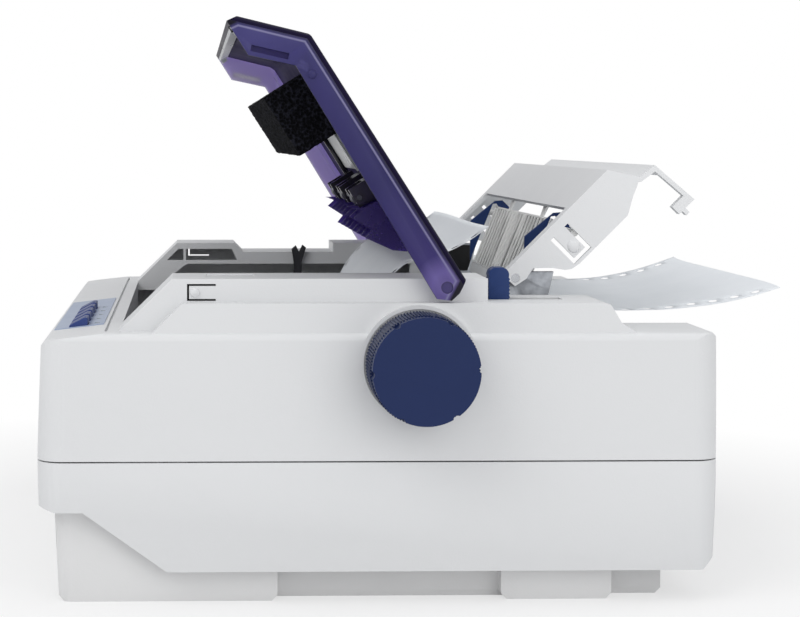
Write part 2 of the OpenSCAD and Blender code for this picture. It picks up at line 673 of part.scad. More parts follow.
rear_y = half_d - 21;            // rear end of the flat top
rear_edge_y = half_d + 1;        // rear face of the closed cover
rear_ridge = [rear_edge_y - 1.5, 155.6]; // top of the arms, at the rear of the ledge
window_y = 128;                  // rear edge of the paper window
rear_plate = [[rear_pivot[0], rear_z], [rear_y, rear_z], [rear_y + 10, 157], [rear_y + 5.6, 154.5],
    [rear_y, 152.1], [148.4, 146.6], [111, 146.6], [105.5, 147.6], [102.6, 149.8], [98.5, 155.5],
    [90.8, 163], [84, 161.5], [76.8, 163], [76.4, 168], [77.5, 171]];
module rear_cover() {
    edge = [rear_y + 10, 157];
    color("#c9ccd0") raise_rear() difference() {
        union() {
            // top with its sloping rear and short ledge
            along_x(-rear_x, rear_x, [[rear_pivot[0], rear_z], [rear_y, rear_z], edge,
                rear_ridge, rear_ridge + [0.4, -6], rear_ridge + [0.4 - rear_t, -6],
                rear_ridge + [-rear_t, -rear_t], [edge[0] - 1.6, edge[1] - rear_t],
                [rear_y - 1.6, rear_z - rear_t], [rear_pivot[0], rear_z - rear_t]]);
            both_sides() along_x(rear_x - rear_t, rear_x, rear_plate);
            // arm down each side of the rear opening, with a hook
            both_sides() {
                along_x(rear_x - 6, rear_x, [rear_ridge + [0, -1], [rear_edge_y + 0.7, rear_sill_z + 4.8],
                    [rear_edge_y + 0.7 - rear_t, rear_sill_z + 4.8], rear_ridge + [-rear_t, -1]]);
                along_x(rear_x - 6, rear_x, [[rear_edge_y - rear_t + 0.9, rear_sill_z + 10.5],
                    [rear_edge_y - 11, rear_sill_z + 10.5], [rear_edge_y - 11, rear_sill_z + 4.8],
                    [rear_edge_y - 8.6, rear_sill_z + 4.8], [rear_edge_y - 8.6, rear_sill_z + 1.6],
                    [rear_edge_y - 6.2, rear_sill_z + 1.6], [rear_edge_y - 6.2, rear_sill_z + 4.8],
                    [rear_edge_y - rear_t + 0.9, rear_sill_z + 4.8]]);
            }
        }
        // window over the sheet guides
        block([-window_x, rear_pivot[0] - 1, rear_z - 4], [window_x, window_y, rear_z + 1]);
        both_sides() {
            rod_x(rear_x - 4, rear_x + 1, rear_pivot, rear_pin_r + run);
            rear_latch();
        }
    }
}
window_x = 142;

// U-shaped slot round a spring tongue in each side plate.
module rear_latch() {
    y = [109.7, 120.5];
    z = [149.6, 167];
    slot = 2.5;
    for (side = y) block([rear_x - 4, side - slot / 2, z[0]],
        [rear_x + 1, side + slot / 2, z[1]]);
    block([rear_x - 4, y[0] - slot / 2, z[0] - slot / 2],
        [rear_x + 1, y[1] + slot / 2, z[0] + slot / 2]);
}

module rear_hinge_pins() {
    color("#8f9299") both_sides()
        rod_x(frame_x - 1, rear_x - 0.4, rear_pivot, rear_pin_r);
}

// Ribbed plate that single sheets slide down, hung from the cover's top by two arms.
sheet_x = 100;
sheet_low = [84.4, 150.6];
sheet_high = [122.6, 167];
module sheet_plate() {
    d = (sheet_high - sheet_low) / norm(sheet_high - sheet_low);
    n = [-d[1], d[0]];
    length = norm(sheet_high - sheet_low);
    function point(a, b) = sheet_low + a * d + b * n;
    color("#a9abad") raise_rear() {
        along_x(-sheet_x, sheet_x, [point(0, 0), point(length, 0), point(length, -2), point(0, -2)]);
        for (x = [-sheet_x + 5:10:sheet_x - 5])
            along_x(x - 1, x + 1, [point(1, -eps), point(length - 1, -eps), point(length - 1, 1),
                point(1, 1)]);
        for (x = sheet_arm_x) along_x(x - 5, x + 5, [point(length - 1, -1.5),
            [rear_y - 26, rear_z - rear_t - 0.05], [rear_y - 20, rear_z - rear_t - 0.05],
            point(length + 1, -2), point(length - 2, -2)]);
        // rail that the sheet guides slide on
        rod_x(-window_x - 6.5, window_x + 6.5, rail_at, 2);
    }
}
rail_at = [121, 160];
sheet_arm_x = [-52, 62];

// One blue sheet guide: a triangular blade on a foot that slides along the rail.
guide_x = 105;
module sheet_guide() {
    color("#2b4578") raise_rear() difference() {
        union() {
            along_x(guide_x, guide_x + 2.4, [[84.4, 152.8], [103.7, 171.6], [125, 169.4],
                [129, 166], [129, 158], [116.6, 156.4], [116.6, 161], [124, 164], [124.6, 167.4],
                [122.5, 169]]);
            along_x(guide_x, guide_x + 9, [[116.6, 156.4], [125.4, 156.4], [125.4, 163.4],
                [116.6, 161]]);
        }
        rod_x(guide_x - 1, guide_x + 12, rail_at, 2 + run);
    }
}
module sheet_guide_right() { sheet_guide(); }
module sheet_guide_left() { mirror([1, 0, 0]) sheet_guide(); }

// ---- release lever ----

module release_lever() {
    z = [platform_z + 11.5, platform_z + 17];
    color("#30467d") difference() {
        union() {
            block([lever_x - lever_w / 2, lever_pivot[0] - 5.4, lever_pivot[1] + 20],
                [lever_x + lever_w / 2, lever_pivot[0] + 5.4, z[0]]);
            block([lever_x - lever_w / 2, lever_pivot[0] - 2.4, z[0] - 1],
                [lever_x + lever_w / 2, lever_pivot[0] + 2.4, z[1]]);
            for (side = [-1, 1]) rod_x(lever_x - lever_w / 2, lever_x + lever_w / 2,
                [lever_pivot[0] + side * 1.4, z[1] - 4], 4);
            // serrated grip edges
            for (side = [-1, 1], i = [0:5]) rod_x(lever_x - lever_w / 2, lever_x + lever_w / 2,
                [lever_pivot[0] + side * 5.2, platform_z + 1.2 + 1.9 * i], 0.6);
            block([lever_x - 3, lever_pivot[0] - 4, lever_pivot[1]],
                [lever_x + 3, lever_pivot[0] + 4, lever_pivot[1] + 22]);
            rod_x(lever_x - 5, lever_x + 5, lever_pivot, 8);
        }
        rod_x(lever_x - 6, lever_x + 6, lever_pivot, 3 + run);
    }
}
// Stub shaft fixed in the right side frame.
module release_shaft() {
    color("#9da0a6") rod_x(frame_x + frame_t - 0.5, lever_x + 7, lever_pivot, 3);
}

// ---- platen ----

// Side profile of the knob: six scallops round the rim and fine ribs between them.
module platen_knob() {
    rib_deg = 360 / knob_ribs;
    face = knob_x + knob_len;
    color("#26345e") difference() {
        translate([knob_x, platen[0], platen[1]]) rotate([90, 0, 90]) {
            linear_extrude(knob_len - 6) polygon([for (i = [0:knob_ribs - 1], p = [[-0.28, 0.7],
                [-0.2, 0], [0.2, 0], [0.28, 0.7]]) (knob_r - p[1])
                * [cos((i + p[0]) * rib_deg), sin((i + p[0]) * rib_deg)]]);
            translate([0, 0, knob_len - 6 - eps]) cylinder(h = 6 + eps, r = knob_r - 0.7);
        }
        // scallops in the front rim, and a hollow back
        for (a = [3:60:363]) translate([face - 8, platen[0] + (knob_r + 0.4) * cos(a),
            platen[1] + (knob_r + 0.4) * sin(a)]) rotate([0, 90, 0]) cylinder(h = 9, r = 2.2);
        rod_x(knob_x - 1, face - 3, platen, shaft_r + 0.01);
        difference() {
            rod_x(knob_x - 1, face - 4, platen, knob_r - 3.2);
            rod_x(knob_x - 2, face - 3, platen, shaft_r + 3);
        }
    }
}
module platen_roller() {
    color("#2b2c30") difference() {
        rod_x(-platen_x, platen_x, platen, platen_r);
        rod_x(-platen_x - 1, platen_x + 1, platen, shaft_r + 0.01);
    }
}
module platen_shaft() {
    color("#a5a8ad") rod_x(-frame_x - frame_t - 4, knob_x + knob_len - 3.2, platen, shaft_r);
}
module platen_gear() {
    color("#e4e2da") {
        gear_at(gear_x, platen, platen_teeth, gear_w, shaft_r + 0.01, platen_turn);
        difference() {
            rod_x(gear_x + gear_w - eps, gear_x + gear_w + 5, platen, shaft_r + 4);
            rod_x(gear_x, gear_x + gear_w + 6, platen, shaft_r + 0.01);
        }
    }
}
bush_r = 8;
module platen_bushes() {
    color("#d8d4c4") both_sides() difference() {
        union() {
            rod_x(frame_x - 2, frame_x + frame_t, platen, bush_r - 0.01);
            rod_x(frame_x - 2, frame_x - 0.05, platen, bush_r + 3);
        }
        rod_x(frame_x - 3, frame_x + frame_t + 1, platen, shaft_r + run);
    }
}

// ---- side frames and chassis ----

frame_outline = [[-92, tray_z + tray_t], [-92, 112], [-84, 118], [-56, 118], [-44, 134],
    [-30, 144], [40, 146], [58, 146], [68, 150], [74, 160], [75.5, 166.3], [77.8, 168.8], [84, 169.3],
    [102.3, 169.3], [99.8, 158.5], [97.5, 150], [106, 144], [124, 142], [124, tray_z + tray_t]];
idler_pin_r = 3;
motor_bolt_r = 10.5;
module side_frame() {
    difference() {
        union() {
            along_x(frame_x, frame_x + frame_t, frame_outline);
            // foot flange on the tray
            block([frame_x + frame_t - eps, -92, tray_z + tray_t], [frame_x + frame_t + 6, 124,
                tray_z + tray_t + frame_t]);
        }
        rod_x(frame_x - 1, frame_x + frame_t + 1, platen, bush_r);
        rod_x(frame_x - 1, frame_x + frame_t + 1, rod, rod_r);
        rod_x(frame_x - 1, frame_x + frame_t + 1, rear_pivot, rear_pin_r);
        rod_x(frame_x - 1, frame_x + frame_t + 1, tractor_axis, shaft_r + run);
        rod_x(frame_x - 1, frame_x + frame_t + 1, tractor_rod_at, 3);
        // lightening window
        block([frame_x - 1, -70, 70], [frame_x + frame_t + 1, -48, 84]);
    }
}
tractor_rod_at = [tractor_axis[0] + 4, tractor_axis[1] - 20];
module side_frame_left() {
    color("#8d9095") difference() {
        union() {
            mirror([1, 0, 0]) side_frame();
            rod_x(head_lever_x - 2.6, -frame_x - frame_t + eps, head_lever_pivot, 3);
        }
    }
}
module side_frame_right() {
    color("#8d9095") difference() {
        union() {
            side_frame();
            rod_x(frame_x + frame_t - eps, gear_x + gear_w + 1, idler_axis, idler_pin_r);
        }
        rod_x(frame_x - 1, frame_x + frame_t + 1, pinion_axis, motor_bolt_r);
        rod_x(frame_x - 1, frame_x + frame_t + 1, lever_pivot, 3);
    }
}
module chassis_tray() {
    color("#a3a6ab") difference() {
        union() {
            block([-frame_x - 9, -95, tray_z], [frame_x + 9, 126, tray_z + tray_t]);
            // front beam
            block([-frame_x + 14, -95, tray_z + tray_t - eps], [frame_x - 14, -93, tray_z + 22]);
            // paper chute between the tractors and the rear sill
            along_x(-frame_x + 5, frame_x - 5, [[124.3, tray_z + tray_t - eps],
                [126, tray_z + tray_t - eps], [146, 98], [148.5, rear_sill_z - 3],
                [172.5, rear_sill_z - 1], [172.5, rear_sill_z + 0.5], [147.1, rear_sill_z - 1.6],
                [144.5, 98.4]]);
        }
        block([-60, -40, tray_z - 1], [60, 40, tray_z + tray_t + 1]);
    }
}
module carriage_rod() {
    color("#b7babf") rod_x(-frame_x - frame_t, frame_x + frame_t, rod, rod_r - 0.01);
}
rail_y = -68;
module guide_rail() {
    color("#9b9ea4") {
        block([-frame_x + 13, rail_y - 12, tray_z + tray_t], [frame_x - 13, rail_y,
            tray_z + tray_t + 2]);
        block([-frame_x + 13, rail_y - 2, tray_z + tray_t], [frame_x - 13, rail_y, 92]);
    }
}

// ---- carriage ----

carriage_w = 24;
module carriage() {
    foot_y = [rail_y - 5, rail_y + 4];
    color("#35363a") difference() {
        union() {
            block([-carriage_w, rod[0] - 11, rod[1] - 12], [carriage_w, rod[0] + 11, rod[1] + 8]);
            block([-9, foot_y[0], 93.2], [9, rod[0] - 10, 98]);
            block([-9, foot_y[0], 80], [9, rail_y - 2 - gap, 94]);
            // head seat
            block([-16, head_y0 + 2, rod[1] + 7], [16, -22, platen[1] - head_r + 3]);
            // belt clamp, just in front of the belt's front run
            block([-6, rod[0] + 10, belt_z - 3], [6, belt_y - pulley_r - belt_t - 0.4, belt_z + 9]);
        }
        rod_x(-carriage_w - 1, carriage_w + 1, rod, rod_r + run);
        translate([0, head_y0 - 1, platen[1]]) rotate([-90, 0, 0]) cylinder(h = 40, r = head_r);
    }
}
module print_head() {
    fin_gap = 3;
    color("#6f7278") translate([0, 0, platen[1]]) rotate([-90, 0, 0]) {
        translate([0, 0, head_y0]) cylinder(h = 3, r = head_r);
        translate([0, 0, head_y0 + 3 - eps]) cylinder(h = 22, r = head_r - 4);
        for (i = [1:5]) translate([0, 0, head_y0 + 1.4 + fin_gap * i + i])
            cylinder(h = 1.6, r = head_r);
        translate([0, 0, head_y0 + 25 - 2 * eps]) cylinder(h = 6, r1 = 14, r2 = 9);
        translate([0, 0, head_y0 + 31 - 3 * eps]) cylinder(h = nose_y - head_y0 - 31, r1 = 7, r2 = 4);
    }
}
ribbon_z = [114, 132];
ribbon_y = [-89, -56.5];
module ribbon_cartridge() {
    color("#17181b") difference() {
        union() {
            block([-ribbon_x, ribbon_y[0], ribbon_z[0]], [ribbon_x, ribbon_y[1], ribbon_z[1]]);
            both_sides() {
                block([ribbon_x - 10, ribbon_y[1] - 1, ribbon_z[0] + 2], [ribbon_x, -6,
                    ribbon_z[1] - 2]);
                along_x(ribbon_x - 10, ribbon_x, [[-6.5, ribbon_z[0] + 3], [-1.4, ribbon_z[0] + 5],
                    [-1.4, ribbon_z[1] - 5], [-6.5, ribbon_z[1] - 3]]);
            }
            // the ribbon between the two arms
            block([-ribbon_x + 9, -2.2, platen[1] - 6], [ribbon_x - 9, -1.7, platen[1] + 4]);
        }
        translate([ribbon_knob_x, -73, ribbon_z[1] - 8]) cylinder(h = 10, r = 2.5 + run);
    }
}
ribbon_knob_x = -96;
module ribbon_knob() {
    color("#2f4a86") translate([ribbon_knob_x, -73, 0]) {
        translate([0, 0, ribbon_z[1] - 7.5]) cylinder(h = 8.4, r = 2.5);
        translate([0, 0, ribbon_z[1] + 0.3]) for (turn = [0, 45]) rotate([0, 0, turn])
            translate([-4.4, -4.4, 0]) cube([8.8, 8.8, 3.6]);
    }
}

// ---- carriage drive ----

module timing_belt() {
    out = pulley_r + gap + belt_t;
    color("#222327") difference() {
        union() {
            block([-pulley_x, belt_y - out, belt_z], [pulley_x, belt_y + out, belt_z + belt_h]);
            for (x = [-pulley_x, pulley_x]) translate([x, belt_y, belt_z])
                cylinder(h = belt_h, r = out);
        }
        block([-pulley_x, belt_y - out + belt_t, belt_z - 1],
            [pulley_x, belt_y + out - belt_t, belt_z + belt_h + 1]);
        for (x = [-pulley_x, pulley_x]) translate([x, belt_y, belt_z - 1])
            cylinder(h = belt_h + 2, r = out - belt_t);
    }
}
// Toothed pulley with a flange above and below the belt.
module pulley(x, bore) {
    color("#c3c5c8") translate([x, belt_y, 0]) difference() {
        union() {
            translate([0, 0, belt_z - gap]) cylinder(h = belt_h + 2 * gap, r = pulley_r);
            translate([0, 0, belt_z - gap - 1.2]) cylinder(h = 1.2 + eps, r = pulley_r + 2);
            translate([0, 0, belt_z + belt_h + gap - eps]) cylinder(h = 1.2, r = pulley_r + 2);
        }
        translate([0, 0, belt_z - 4]) cylinder(h = belt_h + 8, r = bore);
    }
}
module drive_pulley() { pulley(pulley_x, 2.5 + run); }
module idler_pulley() { pulley(-pulley_x, 2.5 + run); }
motor_r = 18;
module carriage_motor() {
    top = belt_z - 5;
    color("#55585e") {
        translate([pulley_x, belt_y, tray_z + tray_t]) cylinder(h = top - tray_z - tray_t, r = motor_r);
        translate([pulley_x, belt_y, top - eps]) cylinder(h = belt_z + belt_h + 3 - top, r = 2.5);
        // idler post at the other end of the belt
        translate([-pulley_x, belt_y, tray_z + tray_t]) cylinder(h = top - tray_z - tray_t, r = 5);
        translate([-pulley_x, belt_y, top - eps]) cylinder(h = belt_z + belt_h + 3 - top, r = 2.5);
    }
}

// ---- paper feed drive ----

feed_motor_r = 19;
module feed_motor() {
    color("#55585e") {
        rod_x(frame_x - 26, frame_x - 0.1, pinion_axis, feed_motor_r);
        rod_x(frame_x - 0.2, frame_x + frame_t - 0.2, pinion_axis, motor_bolt_r - 0.3);
        rod_x(frame_x, gear_x + gear_w + 1, pinion_axis, 2.5);
    }
}
module feed_pinion() {
    color("#e4e2da") gear_at(gear_x, pinion_axis, pinion_teeth, gear_w, 2.5 + run, pinion_turn);
}
module idler_gear() {
    color("#e4e2da") gear_at(gear_x, idler_axis, idler_teeth, gear_w, idler_pin_r + run,
        idler_turn);
}
module tractor_shaft() {
    color("#a5a8ad") {
        rod_x(-frame_x - frame_t - 3, gear_x + gear_w + 2, tractor_axis, shaft_r);
        gear_at(gear_x, tractor_axis, tractor_teeth, gear_w, shaft_r - eps, tractor_turn);
    }
}
module tractor_rod() {
    color("#a5a8ad") rod_x(-frame_x - frame_t, frame_x + frame_t, tractor_rod_at, 3 - 0.01);
}
// One tractor: body on the two shafts, belt with a pin at each sprocket hole, and a lid.
tractor_w = 15;
hole_row_x = paper_w / 2 - 6.35;
paper_level = 145.4;
module tractor() {
    x0 = hole_row_x - tractor_w / 2 + 2;
    color("#3c3e44") difference() {
        union() {
            along_x(x0, x0 + tractor_w, [[tractor_axis[0] - 26, tractor_axis[1] - 2],
                [tractor_axis[0] - 22, paper_level - 1], [tractor_axis[0] + 28, paper_level - 1],
                [tractor_axis[0] + 30, tractor_axis[1] - 4], [tractor_axis[0] + 16,
                tractor_axis[1] - 26], [tractor_axis[0] - 10, tractor_axis[1] - 26]]);
            for (i = [-1:2]) translate([hole_row_x, tractor_axis[0] + i * hole_pitch, paper_level - 2])
                cylinder(h = 2.6, r = hole_r - 0.6);
        }
        rod_x(x0 - 1, x0 + tractor_w + 1, tractor_axis, shaft_r + run);
        rod_x(x0 - 1, x0 + tractor_w + 1, tractor_rod_at, 3 + run);
    }
}
module tractor_right() { tractor(); }
module tractor_left() { mirror([1, 0, 0]) tractor(); }

// ---- electronics ----

module main_board() {
    color("#2f6b46") difference() {
        union() {
            block([-122, -60, board_z], [62, 150, board_z + board_t]);
            for (chip = [[-90, -30, 30, 12], [-40, -20, 26, 26], [10, 10, 18, 40], [-95, 40, 40, 14]])
                translate([chip[0], chip[1], board_z + board_t - eps])
                    cube([chip[2], chip[3], 4]);
            for (x = [-100, -80, -60]) translate([x, 100, board_z + board_t - eps])
                cylinder(h = 18, r = 7);
        }
        for (x = board_post_x, y = board_post_y) translate([x, y, board_z - 1])
            cylinder(h = board_t + 2, r = 1.6);
    }
}
module power_supply() {
    color("#b2b5ba") difference() {
        block([-half_w + 8, -70, base_z + skin], [-frame_x - 11, 120, 84]);
        block([-half_w + 9.5, -68.5, base_z + skin + 1.5], [-frame_x - 12.5, 118.5, 85]);
        for (y = [-60:12:108]) block([-frame_x - 13, y, 34], [-frame_x - 7, y + 5, 76]);
    }
    color("#c9a23c") block([-half_w + 18, -30, base_z + skin + 1.5 - eps], [-frame_x - 21, 20, 74]);
}
module power_inlet() {
    w = inlet_hole[1];
    h = inlet_hole[3];
    color("#2a2b2f") difference() {
        block([inlet_hole[0] - w / 2, half_d - 18, inlet_hole[2] - h / 2],
            [inlet_hole[0] + w / 2, rear_wall_y(inlet_hole[2] - h / 2), inlet_hole[2] + h / 2]);
        block([inlet_hole[0] - w / 2 + 2.5, half_d - 14, inlet_hole[2] - h / 2 + 2.5],
            [inlet_hole[0] + w / 2 - 2.5, half_d + 2, inlet_hole[2] + h / 2 - 2.5]);
    }
    color("#c8cacd") for (x = [-7, 0, 7])
        block([inlet_hole[0] + x - 1, half_d - 14.5, inlet_hole[2] - 3],
            [inlet_hole[0] + x + 1, half_d - 4, inlet_hole[2] + 3]);
}
// Outer face of the raked rear wall at height z.
function rear_wall_y(z) = half_d - rake
    * (part_z - parting_gap / 2 - z) / (part_z - parting_gap / 2 - base_z - 6);

// Rocker of the power switch, turned about its own pin.
switch_at = [half_d - 6, switch_hole[2]];
module power_switch() {
    w = switch_hole[1] - 2 * gap;
    color("#26272b") {
        along_x(switch_hole[0] - w / 2, switch_hole[0] + w / 2, [[switch_at[0], switch_at[1] - 5.5],
            [switch_at[0] + 4, switch_at[1] - 6.4], [switch_at[0] + 3.2, switch_at[1]],
            [switch_at[0] + 6.4, switch_at[1] + 6], [switch_at[0], switch_at[1] + 5.5]]);
        rod_x(switch_hole[0] - w / 2, switch_hole[0] + w / 2, switch_at, 5);
    }
}
module interface_port() {
    w = port_hole[1];
    h = port_hole[3];
    color("#c8cacd") difference() {
        block([port_hole[0] - w / 2, half_d - 22, port_hole[2] - h / 2],
            [port_hole[0] + w / 2, rear_wall_y(port_hole[2] - h / 2), port_hole[2] + h / 2]);
        block([port_hole[0] - w / 2 + 1.5, half_d - 16, port_hole[2] - h / 2 + 1.5],
            [port_hole[0] + w / 2 - 1.5, half_d + 2, port_hole[2] + h / 2 - 1.5]);
    }
    color("#2a2b2f") block([port_hole[0] - 24, half_d - 16.5, port_hole[2] - 2],
        [port_hole[0] + 24, half_d - 5, port_hole[2] + 2]);
}

// ---- head gap lever ----

module head_gap_lever() {
    x = head_lever_x;
    color("#2c2d31") difference() {
        union() {
            along_x(x - 1.7, x + 1.7, [[-26, 100], [-20, 100], [-20.5, 156], [-17.4, 166],
                [-20, 168], [-22.4, 163], [-24.6, 167.6], [-27.6, 165], [-26.2, 156]]);
            rod_x(x - 1.7, x + 1.7, head_lever_pivot, 7);
        }
        rod_x(x - 3, x + 3, head_lever_pivot, 3 + run);
    }
}

// ---- paper ----

// Points of the paper's near edge, (y, z), from the rear tail to the platen.
infeed_line = [[234, 159], [223.2, 156], [210.6, 152.2], [198.7, 149.7], [184.6, 147.4],
    [173.1, 146], [159.8, 145.6], [147.8, paper_level], [84, paper_level], [72, 141], [62, 132],
    [54, 120], [44, 108], [34, 103.8], [20.2, 103.4]];
exit_line = [[20.2, 104.6], [10, 107.2], [3, 113], [-0.6, 125.2], [0.6, 138], [5.4, 151.4],
    [13, 163], [23, 172.4], [35, 176.2], [47.3, 179.1], [60, 185.6], [72, 194.2]];
// A strip of paper along a line: the line, and the same line moved back by the thickness.
function offset_back(line, t) = [for (i = [len(line) - 1:-1:0])
    let (a = line[max(i - 1, 0)], b = line[min(i + 1, len(line) - 1)], d = (b - a) / norm(b - a))
    line[i] + t * [-d[1], d[0]]];
module paper_strip(line) {
    color("#dfe3e6") along_x(-paper_w / 2, paper_w / 2, concat(line, offset_back(line, paper_t)));
}
module paper_infeed() {
    difference() {
        paper_strip(infeed_line);
        both_sides() for (i = [-1:2])
            translate([hole_row_x, tractor_axis[0] + i * hole_pitch, paper_level - 3])
                cylinder(h = 6, r = hole_r);
    }
}
module paper_exit() { paper_strip(exit_line); }

lower_case();
plinth();
rubber_feet();
upper_case();
case_screws();
panel_label();
panel_board();
indicator_lenses();
panel_button_1();
panel_button_2();
panel_button_3();
panel_button_4();
panel_button_5();
access_cover();
cover_fins();
cover_foam();
roller_holders();
paper_rollers();
cover_strip();
cover_hinge_pins();
rear_cover();
rear_hinge_pins();
sheet_plate();
sheet_guide_left();
sheet_guide_right();
release_lever();
release_shaft();
platen_knob();
platen_roller();
platen_shaft();
platen_gear();
platen_bushes();
side_frame_left();
side_frame_right();
chassis_tray();
carriage_rod();
guide_rail();
carriage();
print_head();
ribbon_cartridge();
ribbon_knob();
timing_belt();
drive_pulley();
idler_pulley();
carriage_motor();
feed_motor();
feed_pinion();
idler_gear();
tractor_shaft();
tractor_rod();
tractor_left();
tractor_right();
main_board();
power_supply();
power_inlet();
power_switch();
interface_port();
head_gap_lever();
paper_infeed();
paper_exit();
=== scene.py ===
import json
import math

import bpy
import bmesh
from mathutils import Euler, Matrix, Vector, noise


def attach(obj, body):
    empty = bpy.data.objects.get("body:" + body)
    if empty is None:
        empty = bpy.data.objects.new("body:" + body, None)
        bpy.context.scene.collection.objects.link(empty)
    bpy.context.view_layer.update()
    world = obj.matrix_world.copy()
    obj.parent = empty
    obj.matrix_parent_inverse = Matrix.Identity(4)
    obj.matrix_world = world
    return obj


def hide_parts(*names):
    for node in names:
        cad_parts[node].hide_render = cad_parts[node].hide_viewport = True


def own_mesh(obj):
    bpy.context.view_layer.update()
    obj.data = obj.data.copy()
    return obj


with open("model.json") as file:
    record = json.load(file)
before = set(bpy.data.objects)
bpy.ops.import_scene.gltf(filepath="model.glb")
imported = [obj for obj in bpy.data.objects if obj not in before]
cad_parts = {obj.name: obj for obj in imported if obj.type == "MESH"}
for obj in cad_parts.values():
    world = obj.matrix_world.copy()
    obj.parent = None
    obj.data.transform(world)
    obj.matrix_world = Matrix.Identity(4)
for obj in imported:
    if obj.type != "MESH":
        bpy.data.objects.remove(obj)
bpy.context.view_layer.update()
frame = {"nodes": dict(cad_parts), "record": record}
NODE = frame["nodes"]
# Drawings are in mm, as (x, y, z) or, for outlines and hinges, (y, z).
MM = 0.001

# The covers' hinge axes, and their turns from closed to the rest pose.
COVER_PIVOT = (34.9, 165.2)
COVER_ANGLE = math.radians(-57.6)
REAR_PIVOT = (80, 166)
REAR_ANGLE = math.radians(45)

# The access cover's half width, and where the outer skin of its sides starts.
COVER_HALF = 208.0
SKIN_X = 205.2

# ---------------------------------------------------------------- camera and light

SENSOR = 36
LENS = 86.24
FRAME_SHIFT = (0.20, -0.16)
CAMERA_AT = (1.2012, -0.0983, 0.2424)
CAMERA_TURN = (1.453, -1.236, 0.046)  # yaw, pitch and roll, in degrees

# Name, place, the point it faces, its two sides and its power.
LAMPS = [
    ("key_softbox", (0.95, -1.0, 1.5), (0.1, 0, 0.12), (1.3, 1.3), 10),
    ("top_softbox", (-0.1, 0.25, 1.7), (0, 0, 0.1), (1.6, 1.2), 4),
    ("fill_softbox", (1.7, 0.7, 0.8), (0.1, 0, 0.12), (1.4, 1.2), 7),
]
WORLD_COLOUR = (0.98, 0.985, 1.0, 1)
WORLD_STRENGTH = 0.62
WHITE = (1, 1, 1, 1)


def set_camera():
    """The photograph's view: from the printer's right side, level with the covers."""
    data = bpy.data.cameras.new("view_camera")
    camera = bpy.data.objects.new("view_camera", data)
    bpy.context.scene.collection.objects.link(camera)
    data.sensor_width = SENSOR
    data.lens = LENS
    data.shift_x, data.shift_y = FRAME_SHIFT
    data.clip_start = 0.01
    camera.location = CAMERA_AT
    yaw, pitch, roll = (math.radians(a) for a in CAMERA_TURN)
    turn = Euler((math.pi / 2 + pitch, 0, math.pi / 2 - yaw)).to_matrix()
    camera.rotation_euler = (turn @ Matrix.Rotation(roll, 3, "Z")).to_euler()
    bpy.context.scene.camera = camera


def area_light(name, at, toward, size, power):
    """A soft rectangular lamp."""
    data = bpy.data.lights.new(name, "AREA")
    data.shape = "RECTANGLE"
    data.size, data.size_y = size
    data.energy = power
    lamp = bpy.data.objects.new(name, data)
    lamp.location = at
    lamp.rotation_euler = (Vector(toward) - Vector(at)).to_track_quat("-Z", "Y").to_euler()
    bpy.context.scene.collection.objects.link(lamp)


def white_for_rays(tree, plain, target):
    """A plain world for light on the object, pure white for camera and transmission rays."""
    path = tree.nodes.new("ShaderNodeLightPath")
    white = tree.nodes.new("ShaderNodeBackground")
    white.inputs["Color"].default_value = WHITE
    total = tree.nodes.new("ShaderNodeMath")
    total.operation = "MAXIMUM"
    tree.links.new(path.outputs["Is Camera Ray"], total.inputs[0])
    tree.links.new(path.outputs["Is Transmission Ray"], total.inputs[1])
    mix = tree.nodes.new("ShaderNodeMixShader")
    tree.links.new(total.outputs[0], mix.inputs[0])
    tree.links.new(plain, mix.inputs[1])
    tree.links.new(white.outputs[0], mix.inputs[2])
    tree.links.new(mix.outputs[0], target)


def set_light():
    """The studio's pale world and soft lamps."""
    world = bpy.data.worlds.new("studio")
    bpy.context.scene.world = world
    world.use_nodes = True
    tree = world.node_tree
    back = tree.nodes["Background"]
    back.inputs["Color"].default_value = WORLD_COLOUR
    back.inputs["Strength"].default_value = WORLD_STRENGTH
    white_for_rays(tree, back.outputs[0], tree.nodes["World Output"].inputs["Surface"])
    for lamp in LAMPS:
        area_light(*lamp)
    bpy.context.scene.view_settings.view_transform = "Standard"


set_camera()
set_light()

# ---------------------------------------------------------------- materials


def rgb(r, g, b):
    """Linear colour of a colour given from 0 to 255."""
    return tuple(c / 12.92 if c <= 0.04045 else ((c + 0.055) / 1.055) ** 2.4
                 for c in (r / 255, g / 255, b / 255)) + (1.0,)


def scaled(colour, share):
    """A linear colour made darker or lighter by a share."""
    return tuple(min(1.0, c * share) for c in colour[:3]) + (1.0,)


